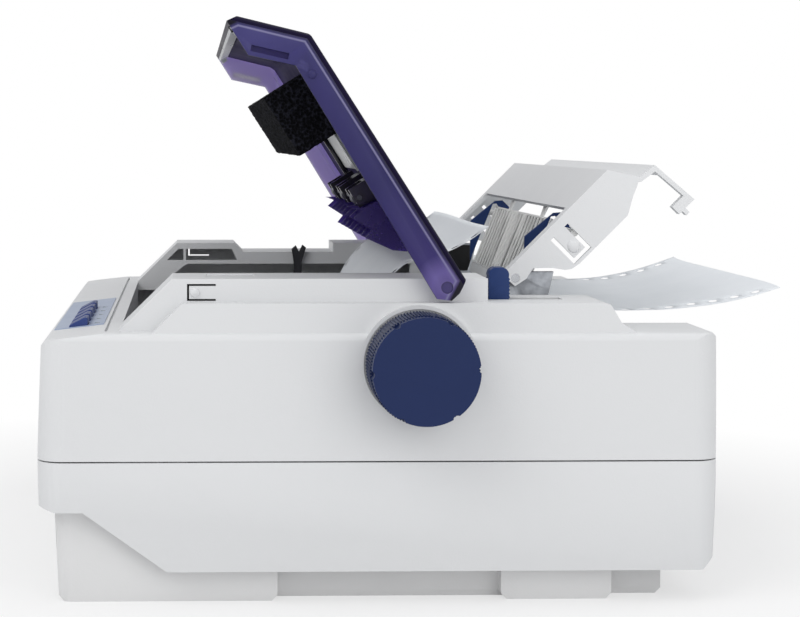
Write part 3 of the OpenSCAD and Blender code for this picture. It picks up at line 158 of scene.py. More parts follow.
class Finish:
    """A procedural material, wired step by step on object coordinates in metres."""

    def __init__(self, name):
        self.material = bpy.data.materials.new(name)
        self.material.use_nodes = True
        self.tree = self.material.node_tree
        self.shader = self.tree.nodes["Principled BSDF"]
        self.place = self.node("TexCoord").outputs["Object"]

    def node(self, kind, settings=None, **inputs):
        made = self.tree.nodes.new("ShaderNode" + kind)
        for key, value in (settings or {}).items():
            setattr(made, key, value)
        for key, value in inputs.items():
            self.put(made.inputs[key.replace("_", " ")], value)
        return made

    def put(self, socket, value):
        if isinstance(value, bpy.types.NodeSocket):
            self.tree.links.new(value, socket)
        else:
            socket.default_value = value

    def stretch(self, x, y, z):
        return self.node("Mapping", Vector=self.place, Scale=(x, y, z)).outputs[0]

    def noise(self, scale, detail=2.0, rough=0.5, at=None):
        return self.node("TexNoise", Vector=at or self.place, Scale=scale, Detail=detail,
                         Roughness=rough).outputs["Fac"]

    def cells(self, scale):
        return self.node("TexVoronoi", Vector=self.place, Scale=scale).outputs["Distance"]

    def ramp(self, value, *stops):
        made = self.node("ValToRGB", Fac=value)
        ramp = made.color_ramp
        while len(ramp.elements) < len(stops):
            ramp.elements.new(0.5)
        for element, (at, colour) in zip(ramp.elements, stops):
            element.position = at
            element.color = colour if hasattr(colour, "__len__") else (colour,) * 3 + (1,)
        return made.outputs["Color"]

    def mix(self, share, a, b):
        made = self.node("Mix", {"data_type": "RGBA"})
        self.put(made.inputs[0], share)
        self.put(made.inputs[6], a)
        self.put(made.inputs[7], b)
        return made.outputs[2]

    def math(self, operation, a, b=0.0):
        made = self.node("Math", {"operation": operation})
        self.put(made.inputs[0], a)
        self.put(made.inputs[1], b)
        return made.outputs[0]

    def bump(self, height, strength, depth):
        return self.node("Bump", Height=height, Strength=strength,
                         Distance=depth).outputs["Normal"]

    def set(self, **inputs):
        for key, value in inputs.items():
            self.put(self.shader.inputs[key.replace("_", " ")], value)
        return self.material


GRAIN = 1500  # scale of the spark-eroded grain on moulded plastic
IOR = 1.45


def plastic(name, colour, rough=0.5, grain=0.3, tone=0.05, coat=0.0, **more):
    """Moulded plastic: fine spark-eroded grain, faint flow marks and handling patches."""
    f = Finish(name)
    patches = f.noise(9, 3)
    flow = f.noise(45, 4, 0.6, f.stretch(1, 0.35, 1))
    tint = f.mix(patches, scaled(colour, 1 - tone), scaled(colour, 1 + tone))
    tint = f.mix(f.ramp(flow, (0.45, 0.0), (0.7, 0.35)), tint, scaled(colour, 1 - tone * 0.8))
    fine = f.noise(GRAIN, 2, 0.6)
    pebble = f.cells(GRAIN * 0.55)
    height = f.math("ADD", fine, f.math("MULTIPLY", pebble, 0.6))
    shine = f.ramp(flow, (0.3, rough * 0.88), (0.75, min(1, rough * 1.14)))
    if coat:
        f.set(Coat_Weight=coat, Coat_Roughness=0.12)
    return f.set(Base_Color=tint, Roughness=shine, Normal=f.bump(height, grain, 0.00012),
                 **more)


def metal(name, colour, rough=0.32, along=(1, 12, 12), tone=0.12):
    """Drawn, turned or rolled metal, with fine lines across the stretched axis."""
    f = Finish(name)
    lines = f.noise(260, 3, 0.6, f.stretch(*along))
    cloud = f.noise(35, 3)
    tint = f.mix(cloud, scaled(colour, 1 - tone), scaled(colour, 1 + tone))
    tint = f.mix(f.ramp(lines, (0.4, 0.0), (0.75, 0.4)), tint, scaled(colour, 0.75))
    shine = f.ramp(lines, (0.3, rough * 0.75), (0.75, min(1, rough * 1.3)))
    return f.set(Base_Color=tint, Metallic=1.0, Roughness=shine,
                 Normal=f.bump(lines, 0.16, 0.00006))


def rubber(name, colour, rough=0.75):
    """Black rubber with a little pale dust on it."""
    f = Finish(name)
    dust = f.noise(60, 5, 0.7)
    tint = f.mix(f.ramp(dust, (0.5, 0.0), (0.85, 0.5)), colour, scaled(colour, 2.2))
    fine = f.noise(2600, 2)
    shine = f.ramp(dust, (0.3, rough * 0.85), (0.8, min(1, rough * 1.2)))
    return f.set(Base_Color=tint, Roughness=shine, Normal=f.bump(fine, 0.35, 0.0001))


def foam_finish():
    """Open-cell foam: black, its cell mouths darker as painted shade, with lighter walls between
    them.
    """
    f = Finish("foam_black")
    mouths = f.cells(620)
    small = f.cells(1300)
    # painted shade: the cell mouths and the small pores below are darker than the walls, which
    # carry the foam's own black
    walls = f.ramp(mouths, (0.12, rgb(3, 3, 5)), (0.5, rgb(14, 14, 18)), (0.8, rgb(40, 41, 50)))
    tint = f.mix(f.ramp(small, (0.2, 0.7), (0.55, 0.0)), walls, rgb(4, 4, 6))
    height = f.math("ADD", mouths, f.math("MULTIPLY", small, 0.5))
    return f.set(Base_Color=tint, Roughness=0.97, Specular_IOR_Level=0.15,
                 Normal=f.bump(height, 0.9, 0.0008))


def smoked(name, colour, clear, rough=0.3, grain=0.08, tone=0.1, **more):
    """See-through moulding: part of the light passes, the rest is tinted."""
    f = Finish(name)
    patches = f.noise(14, 3)
    tint = f.mix(patches, scaled(colour, 1 - tone), scaled(colour, 1 + tone))
    fine = f.noise(1700, 2)
    shine = f.ramp(f.noise(60, 4, 0.6), (0.3, rough * 0.85), (0.75, rough * 1.25))
    return f.set(Base_Color=tint, Roughness=shine, Transmission_Weight=clear, IOR=IOR,
                 Specular_IOR_Level=0.25, Normal=f.bump(fine, grain, 0.00008), **more)


def cover_finish():
    """The access cover's violet: a dark band along the outline, painted shade of an edge that
    rolls over, a pale line inside it as a painted highlight, a darker hollow in painted shade and
    a paler patch round the hinge. Places are read in the closed cover's frame, in mm."""
    f = Finish("cover_violet")
    angle = -COVER_ANGLE
    y, z = COVER_PIVOT
    shift = (0, y - (y * math.cos(angle) - z * math.sin(angle)),
             z - (y * math.sin(angle) + z * math.cos(angle)))
    closed = f.node("Mapping", Vector=f.place, Location=shift, Rotation=(angle, 0, 0),
                    Scale=(1000, 1000, 1000)).outputs[0]
    axes = f.node("SeparateXYZ", Vector=closed).outputs
    across = f.math("ABSOLUTE", axes["X"])

    def depth(y0, z0, ny, nz):
        """Depth below the line through (y0, z0) whose outward normal is (ny, nz)."""
        part = f.math("MULTIPLY_ADD", axes["Y"], -ny)
        part.node.inputs[2].default_value = y0 * ny + z0 * nz
        whole = f.math("MULTIPLY_ADD", axes["Z"], -nz)
        f.put(whole.node.inputs[2], part)
        return whole

    # the side's outline: its top, slope, front and rear
    inside = f.math("MINIMUM", depth(-113.4, 175.6, 0, 1), depth(-143, 148.3, -0.695, 0.719))
    inside = f.math("MINIMUM", inside, depth(-143.7, 142.3, -0.993, 0.116))
    inside = f.math("MINIMUM", inside, depth(36.9, 176, 0.863, 0.505))
    edge = f.math("MAXIMUM", inside, f.math("SUBTRACT", COVER_HALF, across))
    rim = f.math("MULTIPLY", edge, 0.1)  # the ramps below read it in cm
    far = f.node("VectorMath", {"operation": "DISTANCE"})
    flat = f.node("VectorMath", {"operation": "MULTIPLY"})
    f.put(flat.inputs[0], closed)
    flat.inputs[1].default_value = (0, 1, 1)
    f.put(far.inputs[0], flat.outputs["Vector"])
    far.inputs[1].default_value = (0, y, z)
    along = f.math("MULTIPLY", f.math("ADD", axes["Y"], 145.0), 1 / 190)
    tint = f.ramp(along, (0.0, rgb(88, 84, 150)), (0.25, rgb(72, 68, 132)),
                  (0.6, rgb(54, 50, 112)), (0.85, rgb(68, 58, 128)))
    tint = f.mix(f.ramp(f.noise(22, 4, 0.6), (0.35, 0.0), (0.7, 0.35)), tint, rgb(46, 42, 98))
    near_pin = f.ramp(f.math("MULTIPLY", far.outputs["Value"], 0.02), (0.16, 0.8), (0.36, 0.0))
    tint = f.mix(near_pin, tint, rgb(138, 122, 198))
    # painted shade: a darker violet in the hollow between the side's skins
    recess_shade = f.math("MULTIPLY", f.math("GREATER_THAN", across, SKIN_X),
                    f.math("LESS_THAN", across, SKIN_X + 1.5))
    tint = f.mix(f.math("MULTIPLY", recess_shade, 0.8), tint, rgb(44, 30, 112))
    # painted highlight: a pale line just inside the dark band, where a rolled edge would catch the
    # light
    ridge_highlight = f.ramp(rim, (0.41, 0.0), (0.45, 0.85), (0.49, 0.85), (0.55, 0.0))
    tint = f.mix(ridge_highlight, tint, rgb(168, 164, 206))
    # painted shade: a near-black band along the outline, where the edge rolls over
    tint = f.mix(f.ramp(rim, (0.25, 1.0), (0.43, 0.0)), tint, rgb(14, 8, 34))
    fine = f.noise(1500, 2)
    shine = f.ramp(f.noise(60, 4, 0.6), (0.3, 0.3), (0.75, 0.42))
    return f.set(Base_Color=tint, Roughness=shine, Transmission_Weight=0.45, IOR=IOR,
                 Specular_IOR_Level=0.12, Normal=f.bump(fine, 0.1, 0.00008))


def paper_finish():
    """White paper with faint fibres along its length."""
    f = Finish("paper_white")
    fibres = f.noise(900, 4, 0.7, f.stretch(1, 0.25, 1))
    cloud = f.noise(28, 3)
    tint = f.mix(cloud, rgb(232, 236, 240), rgb(242, 245, 248))
    tint = f.mix(f.ramp(fibres, (0.5, 0.0), (0.8, 0.25)), tint, rgb(222, 226, 232))
    return f.set(Base_Color=tint, Roughness=0.85, Specular_IOR_Level=0.2,
                 Normal=f.bump(fibres, 0.25, 0.00005))


def board_finish():
    """Green solder mask over faint copper tracks."""
    f = Finish("board_green")
    tracks = f.node("TexBrick", Vector=f.place, Scale=140.0, Mortar_Size=0.02).outputs["Fac"]
    cloud = f.noise(180, 3)
    tint = f.mix(tracks, rgb(22, 74, 44), rgb(48, 112, 66))
    tint = f.mix(f.ramp(cloud, (0.55, 0.0), (0.7, 0.5)), tint, rgb(14, 52, 32))
    return f.set(Base_Color=tint, Roughness=f.ramp(cloud, (0.3, 0.25), (0.7, 0.45)),
                 Normal=f.bump(tracks, 0.25, 0.0001))


PAINT = {
    "case": plastic("case_grey", rgb(222, 223, 224), 0.5, tone=0.012),
    "plinth": plastic("plinth_grey", rgb(223, 223, 223), 0.52, tone=0.014),
    "rear": plastic("rear_grey", rgb(227, 228, 229), 0.5, tone=0.014),
    "sheet": plastic("sheet_grey", rgb(240, 240, 238), 0.5, tone=0.015),
    "violet": cover_finish(),
    # painted light: a paler copy of the cover's violet for its inner faces, with subsurface
    # carrying real light through as well
    "violet_inner_lit": smoked("cover_inner", rgb(196, 186, 232), 0.1, 0.5, 0.1, 0.05,
                          Subsurface_Weight=0.85, Subsurface_Radius=(1, 0.95, 1.1),
                          Subsurface_Scale=0.008),
    "violet_under": plastic("cover_under", rgb(62, 56, 92), 0.75, 0.1, tone=0.08,
                            Specular_IOR_Level=0.05),
    "violet_edge": plastic("cover_edge", rgb(20, 13, 44), 0.4, 0.1, tone=0.1,
                           Specular_IOR_Level=0.08),
    "pin": plastic("pin_violet", rgb(52, 40, 104), 0.35, tone=0.08),
    "fins": smoked("fin_violet", rgb(78, 58, 150), 0.55, 0.25),
    "clear": smoked("strip_clear", rgb(226, 229, 232), 0.35, 0.3, 0.04, 0.02),
    "shade": plastic("shade_black", rgb(12, 12, 15), 0.8, tone=0.1),
    "foam": foam_finish(),
    "dark": plastic("moulding_dark", rgb(36, 36, 42), 0.42, tone=0.12),
    "holder": plastic("holder_dark", rgb(30, 26, 44), 0.25, 0.15, tone=0.12, coat=0.4),
    "black": plastic("socket_black", rgb(26, 26, 29), 0.4, tone=0.14),
    "ribbon": plastic("ribbon_black", rgb(28, 28, 31), 0.34, 0.2, tone=0.12),
    "frame": metal("frame_steel", rgb(150, 153, 158), 0.42, (1, 1, 1), 0.1),
    "tray": metal("tray_steel", rgb(128, 131, 136), 0.48, (1, 6, 1), 0.12),
    "steel": metal("pin_steel", rgb(190, 192, 196), 0.22),
    "shield": metal("shield_steel", rgb(188, 190, 194), 0.38, (1, 6, 1), 0.08),
    "motor": metal("motor_metal", rgb(88, 91, 98), 0.4, (4, 1, 1), 0.15),
    "head": metal("head_metal", rgb(120, 123, 130), 0.5, (1, 1, 1), 0.15),
    "pulley": metal("pulley_light", rgb(196, 198, 202), 0.3, (1, 1, 8)),
    "screw": metal("screw_steel", rgb(160, 163, 168), 0.3),
    "gear": plastic("gear_white", rgb(226, 223, 212), 0.38, 0.15, tone=0.03),
    "rubber": rubber("rubber_black", rgb(38, 38, 41)),
    "platen": rubber("platen_rubber", rgb(46, 46, 50), 0.55),
    "belt": rubber("belt_black", rgb(26, 26, 28)),
    "roller": rubber("roller_grey", rgb(92, 92, 104), 0.5),
    "knob": plastic("knob_navy", rgb(27, 42, 84), 0.4, 0.35, tone=0.07, Specular_IOR_Level=0.2),
    "lever": plastic("lever_blue", rgb(34, 56, 106), 0.42, 0.3, tone=0.07,
                     Specular_IOR_Level=0.2),
    "guide": plastic("guide_blue", rgb(34, 56, 104), 0.4, 0.3, tone=0.07,
                     Specular_IOR_Level=0.2),
    "button": plastic("button_blue", rgb(48, 66, 124), 0.38, 0.25, tone=0.06,
                      Specular_IOR_Level=0.3),
    "label": plastic("label_blue", rgb(156, 170, 196), 0.34, 0.12, tone=0.03, coat=0.1),
    "lens": smoked("lens_grey", rgb(150, 170, 176), 0.4, 0.15),
    "paper": paper_finish(),
    "board": board_finish(),
}

BUTTONS = ["panel_button_%d" % i for i in range(1, 6)]

# The nodes that carry each finish.
DRESS = {
    "case": ["lower_case", "upper_case"],
    "plinth": ["plinth"],
    "rear": ["rear_cover"],
    "sheet": ["sheet_plate"],
    "violet": ["access_cover"],
    "fins": ["cover_fins"],
    "clear": ["cover_strip"],
    "holder": ["roller_holders"],
    "dark": ["head_gap_lever", "carriage", "tractor_left", "tractor_right"],
    "black": ["power_inlet", "power_switch"],
    "ribbon": ["ribbon_cartridge"],
    "frame": ["side_frame_left", "side_frame_right", "guide_rail"],
    "tray": ["chassis_tray"],
    "pin": ["cover_hinge_pins"],
    "steel": ["rear_hinge_pins", "release_shaft", "platen_shaft",
              "tractor_shaft", "tractor_rod", "carriage_rod"],
    "shield": ["power_supply", "interface_port"],
    "motor": ["carriage_motor", "feed_motor"],
    "head": ["print_head"],
    "pulley": ["drive_pulley", "idler_pulley"],
    "screw": ["case_screws"],
    "gear": ["platen_gear", "feed_pinion", "idler_gear", "platen_bushes"],
    "rubber": ["rubber_feet"],
    "platen": ["platen_roller"],
    "belt": ["timing_belt"],
    "roller": ["paper_rollers"],
    "knob": ["platen_knob", "ribbon_knob"],
    "lever": ["release_lever"],
    "guide": ["sheet_guide_left", "sheet_guide_right"],
    "button": BUTTONS,
    "label": ["panel_label"],
    "lens": ["indicator_lenses"],
    "board": ["panel_board", "main_board"],
    "foam": ["cover_foam"],
    "paper": ["paper_infeed", "paper_exit"],
}
SLOT_OF = {s["node"]: s["material_slot"] for s in frame["record"]["subparts"]}
PAINT_SLOT = {paint: SLOT_OF[names[0]] for paint, names in DRESS.items()}
PAINT_SLOT["shade"] = PAINT_SLOT["black"]

for paint, names in DRESS.items():
    for name in names:
        NODE[name].data.materials.clear()
        NODE[name].data.materials.append(PAINT[paint])


def turned(pivot, angle):
    """Matrix that turns a drawing made with a cover closed to its rest pose, in mm."""
    here = Matrix.Translation((0, pivot[0], pivot[1]))
    return here @ Matrix.Rotation(angle, 4, "X") @ here.inverted()


OPEN_COVER = turned(COVER_PIVOT, COVER_ANGLE)
RAISE_REAR = turned(REAR_PIVOT, REAR_ANGLE)


def dress_cover(mesh):
    """Gives the access cover's inner faces their paler violet, painted light, and its underside,
    rounded edge and lip their finishes.
    """
    outer, inner, under, edge, lip = range(5)
    for paint in ("violet_inner_lit", "violet_under", "violet_edge", "clear"):
        mesh.materials.append(PAINT[paint])
    lip_y, cheek_z = -141.2, 150
    close = OPEN_COVER.inverted()
    turn = close.to_3x3()
    for face in mesh.polygons:
        x, y, z = close @ (face.center / MM)
        nx, ny, nz = turn @ face.normal
        if abs(x) > SKIN_X:
            rolled = 0.05 < abs(nx) < 0.97
            slot = edge if abs(nx) < 0.5 or rolled and z > cheek_z else outer
        elif abs(nx) > 0.9:
            slot = inner if nx * x < 0 else outer
        elif y < lip_y:
            slot = lip
        else:
            slot = under if nz < -0.2 or ny > 0.6 else edge
        face.material_index = slot


dress_cover(NODE["access_cover"].data)

# ---------------------------------------------------------------- moulded edges

# Width of the rounding on the nodes' edges, in mm.
ROUNDED = {
    1.6: ["lower_case"],
    1.2: ["plinth"],
    1.0: ["access_cover"],
    0.8: ["ribbon_cartridge"],
    0.5: ["release_lever", "carriage", "tractor_left", "tractor_right", "rubber_feet",
          "carriage_motor", "feed_motor"] + BUTTONS,
    0.4: ["sheet_guide_left", "sheet_guide_right", "chassis_tray", "head_gap_lever",
          "power_inlet", "power_switch", "interface_port", "power_supply", "ribbon_knob",
          "guide_rail"],
    0.3: ["sheet_plate", "side_frame_left", "side_frame_right", "print_head", "case_screws",
          "indicator_lenses"],
}
EDGE = {name: width for width, names in ROUNDED.items() for name in names}
SHARP = 28  # degrees; a blunter edge is shaded smooth


def soften(thing, width):
    """Joins the faces' shared corners, clears flat triangles and rounds the sharp edges."""
    weld = thing.modifiers.new("weld", "WELD")
    weld.merge_threshold = 2e-6
    flat = thing.modifiers.new("flat", "DECIMATE")
    flat.decimate_type = "DISSOLVE"
    flat.angle_limit = math.radians(1.5)
    round_ = thing.modifiers.new("round", "BEVEL")
    round_.width = width * MM
    round_.segments = 3
    round_.limit_method = "ANGLE"
    round_.angle_limit = math.radians(32)
    round_.use_clamp_overlap = True
    round_.harden_normals = True
    round_.miter_outer = "MITER_ARC"


for name, thing in NODE.items():
    thing.data.shade_smooth()
    thing.data.set_sharp_from_angle(angle=math.radians(SHARP))
    if name in EDGE:
        soften(thing, EDGE[name])

# ---------------------------------------------------------------- pieces made here


def smooth_mesh(bm, name, turn=None, sharp=None):
    """A smooth mesh of a drawing that is turned into place; angles over sharp stay edges."""
    if turn is not None:
        bm.transform(turn)
    mesh = bpy.data.meshes.new(name)
    bm.to_mesh(mesh)
    bm.free()
    mesh.shade_smooth()
    if sharp is not None:
        mesh.set_sharp_from_angle(angle=math.radians(sharp))
    return mesh


def add_piece(name, mesh, paint, body, *replaced):
    """Puts a mesh, given in mm, in the scene on a body, and hides what it replaces."""
    mesh.transform(Matrix.Scale(MM, 4))
    thing = bpy.data.objects.new(name, mesh)
    bpy.context.scene.collection.objects.link(thing)
    mesh.materials.append(PAINT[paint])
    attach(thing, body)
    if replaced:
        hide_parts(*replaced)
    return thing


# ---- fan-fold paper

PAPER_HALF = 120.65
PITCH = 12.7
HOLE_X = PAPER_HALF - PITCH / 2
HOLE_R = 2.5
HOLE_CORNERS = 16
COLUMNS = 16
PAPER_T = 0.16
TRACTOR_HOLE_Y = 112.2  # a hole of the tail lies here, on the tractors' pins
INFEED = [(236.6, 159.6), (223.2, 155.2), (210.6, 151.7), (198.7, 149.2), (184.6, 147.1),
          (173.1, 146), (159.8, 145.6), (147.8, 145.4), (84, 145.4), (72, 141), (62, 132),
          (54, 120), (44, 108), (34, 103.8), (20.2, 103.4)]
EXIT = [(20.2, 104.6), (10, 107.2), (3, 113), (-0.6, 125.2), (0.6, 138), (5.4, 151.4),
        (13, 163), (23, 172.4), (35, 176.2), (47.3, 179.1), (60, 185.6), (72, 194.2)]


class Path:
    """A smooth line through points in (y, z), asked for by its length from the start."""

    def __init__(self, points, steps=16):
        ends = [points[0]] + points + [points[-1]]
        self.line = []
        for a, b, c, d in zip(ends, ends[1:], ends[2:], ends[3:]):
            for i in range(steps):
                t = i / steps
                self.line.append(tuple(
                    0.5 * (2 * q + (r - p) * t + (2 * p - 5 * q + 4 * r - s) * t * t
                           + (3 * q - p - 3 * r + s) * t ** 3) for p, q, r, s in zip(a, b, c, d)))
        self.line.append(points[-1])
        self.length_at = [0.0]
        for p, q in zip(self.line, self.line[1:]):
            self.length_at.append(self.length_at[-1] + math.dist(p, q))
        self.length = self.length_at[-1]

    def at(self, s):
        s = min(max(s, 0.0), self.length)
        low, high = 0, len(self.line) - 1
        while high - low > 1:
            mid = (low + high) // 2
            if self.length_at[mid] <= s:
                low = mid
            else:
                high = mid
        span = self.length_at[high] - self.length_at[low]
        t = (s - self.length_at[low]) / span if span else 0
        return tuple(p + t * (q - p) for p, q in zip(self.line[low], self.line[high]))

    def where(self, y):
        """Length at which the line passes y."""
        return min(zip(self.line, self.length_at), key=lambda e: abs(e[0][0] - y))[1]


def paper(name, points, first_hole, wave, *replaced):
    """A strip of fan-fold paper with a row of sprocket holes down each edge."""
    path = Path(points)
    bm = bmesh.new()
    known = {}

    def vertex(x, s):
        key = (round(x, 3), round(s, 3))
        if key not in known:
            y, z = path.at(s)
            known[key] = bm.verts.new((x, y, z + wave(x, y)))
        return known[key]

    def grid(xs, rows):
        for a, b in zip(rows, rows[1:]):
            if b - a > 0.01:
                for l, r in zip(xs, xs[1:]):
                    bm.faces.new([vertex(l, a), vertex(r, a), vertex(r, b), vertex(l, b)])

    first = first_hole - math.floor(first_hole / PITCH) * PITCH - PITCH / 2
    cells = [first + i * PITCH for i in range(int((path.length - first) / PITCH) + 1)]
    quarter = PITCH / 4
    inner = PAPER_HALF - PITCH
    per_side = HOLE_CORNERS // 4
    columns = [(i / COLUMNS * 2 - 1) * inner for i in range(COLUMNS + 1)]
    for start in cells:
        rows = [start + i * quarter for i in range(5)
                if start + i * quarter <= path.length + 0.01]
        rows = [max(0.0, r) for r in rows]
        grid(columns, rows)
        whole = start >= 0 and start + PITCH <= path.length + 0.01
        for side in (-1, 1):
            if not whole:
                grid([side * (inner + i * quarter) for i in range(5)], rows)
                continue
            middle = (side * HOLE_X, start + PITCH / 2)
            square, ring = [], []
            for i in range(HOLE_CORNERS):
                corner, part = divmod(i, per_side)
                if part:
                    step = part / per_side * 2 - 1
                    to = [(-step, 1), (-1, -step), (step, -1), (1, step)][corner]
                else:
                    to = [(1, 1), (-1, 1), (-1, -1), (1, -1)][corner]
                angle = math.radians(45 + i * 360 / HOLE_CORNERS)
                square.append(vertex(middle[0] + to[0] * PITCH / 2, middle[1] + to[1] * PITCH / 2))
                ring.append(vertex(middle[0] + HOLE_R * math.cos(angle),
                                   middle[1] + HOLE_R * math.sin(angle)))
            for i in range(HOLE_CORNERS):
                j = (i + 1) % HOLE_CORNERS
                bm.faces.new([square[i], square[j], ring[j], ring[i]])
    bmesh.ops.recalc_face_normals(bm, faces=bm.faces)
    thing = add_piece(name, smooth_mesh(bm, name, sharp=50), "paper", "case", *replaced)
    thick = thing.modifiers.new("thickness", "SOLIDIFY")
    thick.thickness = PAPER_T * MM
    thick.offset = 0
    return thing


def tail_wave(x, y):
    """Lift of the free tail: higher towards its far edge, in a soft wave across."""
    out = max(0.0, (y - 185) / 50)
    free = min(1.0, max(0.0, (y - 160) / 28)) * min(1.0, 0.4 + max(0.0, (236 - y) / 40))
    side = x / PAPER_HALF
    return 3.2 * (side - side ** 9) * free - 1.3 * min(out, 1.0) * side


def front_wave(x, y):
    """Slight unevenness of the front sheet."""
    return 0.35 * math.sin(x / 31 + y / 22)


paper("paper_tail", INFEED, Path(INFEED).where(TRACTOR_HOLE_Y), tail_wave, "paper_infeed")
exit_sheet = paper("paper_front", EXIT, 3.0, front_wave, "paper_exit")
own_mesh(exit_sheet)

# ---- foam block


FOAM_LOW, FOAM_HIGH = Vector((-146, -100, 139)), Vector((146, -61, 172.6))
FOAM_INSET = 0.7  # room for the walls between its cells
FOAM_STEP = 1.25


def foam_block():
    """Sound-absorbing foam, cut square, with open cells on all faces but the glued one."""
    low = FOAM_LOW + Vector((FOAM_INSET,) * 3)
    high = FOAM_HIGH - Vector((FOAM_INSET, FOAM_INSET, 0.1))
    bm = bmesh.new()
    counts = [max(1, round((high[i] - low[i]) / FOAM_STEP)) for i in range(3)]
    known = {}

    def vertex(index):
        if index not in known:
            known[index] = bm.verts.new([low[i] + (high[i] - low[i]) * index[i] / counts[i]
                                         for i in range(3)])
        return known[index]

    for axis in range(3):
        u, v = [i for i in range(3) if i != axis]
        for end in (0, counts[axis]):
            for a in range(counts[u]):
                for b in range(counts[v]):
                    corners = []
                    for da, db in ((0, 0), (1, 0), (1, 1), (0, 1)):
                        index = [0, 0, 0]
                        index[axis], index[u], index[v] = end, a + da, b + db
                        corners.append(vertex(tuple(index)))
                    bm.faces.new(corners)
    bmesh.ops.recalc_face_normals(bm, faces=bm.faces)
    bm.normal_update()
    for vert in bm.verts:
        if vert.co.z > high.z - 0.01:
            continue
        pit = noise.noise(vert.co * 0.55) * 0.5 + noise.noise(vert.co * 1.3) * 0.45
        sag = noise.noise(vert.co * 0.03) * 0.5
        vert.co += vert.normal * max(-1.1, min(0.55, pit + sag * 0.4 - 0.05))
    mesh = smooth_mesh(bm, "foam_block", OPEN_COVER)
    thing = add_piece("foam_block", mesh, "foam", "access_cover", "cover_foam")


foam_block()

# ---- small mouldings


DOME_RINGS = 6
DOME_CORNERS = 28


def dome(name, centre, radius, height, paint, body, turn=None):
    """A shallow round bump on a face that looks along X, outwards from the middle."""
    bm = bmesh.new()
    side = 1 if centre[0] > 0 else -1
    rings = []
    for i in range(DOME_RINGS + 1):
        lean = i / DOME_RINGS * math.pi / 2
        reach = radius * math.cos(lean)
        at = side * height * math.sin(lean)
        count = DOME_CORNERS if i < DOME_RINGS else 1
        rings.append([bm.verts.new((centre[0] + at, centre[1] + reach * math.cos(a),
                                    centre[2] + reach * math.sin(a)))
                      for a in (math.tau * k / count for k in range(count))])
    for low, high in zip(rings, rings[1:]):
        for k in range(DOME_CORNERS):
            m = (k + 1) % DOME_CORNERS
            bm.faces.new([low[k], low[m], high[m], high[k]] if len(high) > 1
                         else [low[k], low[m], high[0]])
    bm.faces.new(rings[0])
    bmesh.ops.recalc_face_normals(bm, faces=bm.faces)
    add_piece(name, smooth_mesh(bm, name, turn, 50), paint, body)


def prism(name, x0, x1, outline, paint, body, turn=None, edge=0.3):
    """A bar along X with an outline in (y, z) and rounded edges."""
    bm = bmesh.new()
    ends = [[bm.verts.new((x, y, z)) for y, z in outline] for x in (x0, x1)]
    bm.faces.new(ends[0])
    bm.faces.new(ends[1])
    for i in range(len(outline)):
        j = (i + 1) % len(outline)
        bm.faces.new([ends[0][i], ends[0][j], ends[1][j], ends[1][i]])
    bmesh.ops.recalc_face_normals(bm, faces=bm.faces)
    bmesh.ops.bevel(bm, geom=list(bm.edges), offset=edge, segments=2, affect="EDGES",
                    profile=0.5)
    add_piece(name, smooth_mesh(bm, name, turn, 40), paint, body)


def box_outline(y0, z0, y1, z1):
    return [(y0, z0), (y1, z0), (y1, z1), (y0, z1)]


for side, word in ((1, "right"), (-1, "left")):
    dome("wall_dome_" + word, (side * 196.0, -96.5, 162), 2.7, 1.7, "case", "case")
    dome("grip_dome_" + word, (side * COVER_HALF, -96.5, 165), 2.3, 1.1, "violet",
         "access_cover", OPEN_COVER)
    dome("latch_dome_" + word, (side * 152.0, 115.2, 155.6), 3.6, 1.5, "rear", "rear_cover",
         RAISE_REAR)

# dark plates standing in for shade: painted shade behind the right wall's latch slot, and on the
# far frame's ear
prism("latch_slot_shade", 191.6, 192.8, box_outline(-103, 156.2, -83, 166), "shade", "case",
      edge=0.2)
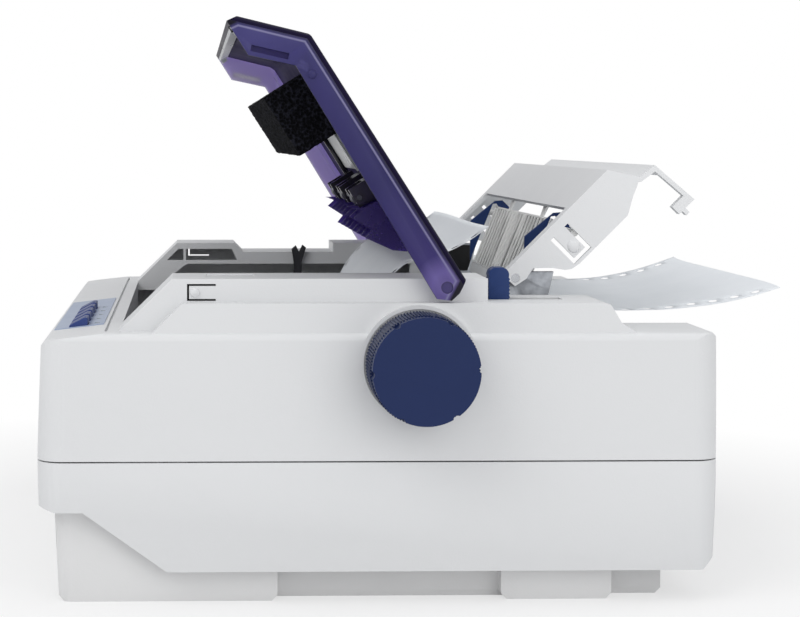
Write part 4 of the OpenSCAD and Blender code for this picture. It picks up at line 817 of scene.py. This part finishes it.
# painted shade: a black plate where the far ear's inner face lies in shadow
prism("ear_shade_plate", -142.9, -142.2, [(76.5, 150), (96, 150), (98.8, 158.5), (101, 168),
                                    (84.5, 168.2), (78.6, 167.6)], "shade", "case", edge=0.1)

# two dark rails under the cover, between the foam and the rollers, and a clear one with a film
for number, x in ((2, -97), (1, 97)):
    prism("cover_rail_%d" % number, x - 1, x + 1, box_outline(-60, 169, -14, 172.8),
          "holder", "access_cover", OPEN_COVER)
prism("cover_rail_3", 19, 21.4, box_outline(-60, 169.9, -30, 172.8), "clear",
      "access_cover", OPEN_COVER)
prism("cover_film", -92, 19, box_outline(-60.5, 171.7, -30, 172.55), "clear",
      "access_cover", OPEN_COVER, edge=0.1)

# sensor at the near end of the clear strip
prism("lip_sensor", 192, 196, box_outline(-141.3, 141.9, -137.4, 144.6), "shade",
      "access_cover", OPEN_COVER)

# ---------------------------------------------------------------- floor


FLOOR_HALF = 3.5  # metres, as all measures of the floor are


def floor():
    """Pale floor that keeps the shadow near the object and runs out to white for the camera."""
    mesh = bpy.data.meshes.new("floor")
    half = FLOOR_HALF
    mesh.from_pydata([(-half, -half, 0), (half, -half, 0), (half, half, 0), (-half, half, 0)], [],
                     [(0, 1, 2, 3)])
    thing = bpy.data.objects.new("floor", mesh)
    bpy.context.scene.collection.objects.link(thing)
    f = Finish("floor_pale")
    f.set(Base_Color=(0.86, 0.86, 0.86, 1), Roughness=0.9, Specular_IOR_Level=0.1)
    away = f.node("VectorMath", {"operation": "LENGTH"})
    f.put(away.inputs[0], f.place)
    fade = f.ramp(away.outputs["Value"], (0.25, 0.55), (0.52, 1.0))
    path = f.node("LightPath")
    seen = f.math("MAXIMUM", path.outputs["Is Camera Ray"], path.outputs["Is Transmission Ray"])
    seen = f.math("MAXIMUM", seen, path.outputs["Is Glossy Ray"])
    white = f.node("Emission", Color=WHITE, Strength=1.0)
    mix = f.node("MixShader", Fac=f.math("MULTIPLY", fade, seen))
    f.put(mix.inputs[1], f.shader.outputs[0])
    f.put(mix.inputs[2], white.outputs[0])
    f.put(f.tree.nodes["Material Output"].inputs["Surface"], mix.outputs[0])
    mesh.materials.append(f.material)


floor()
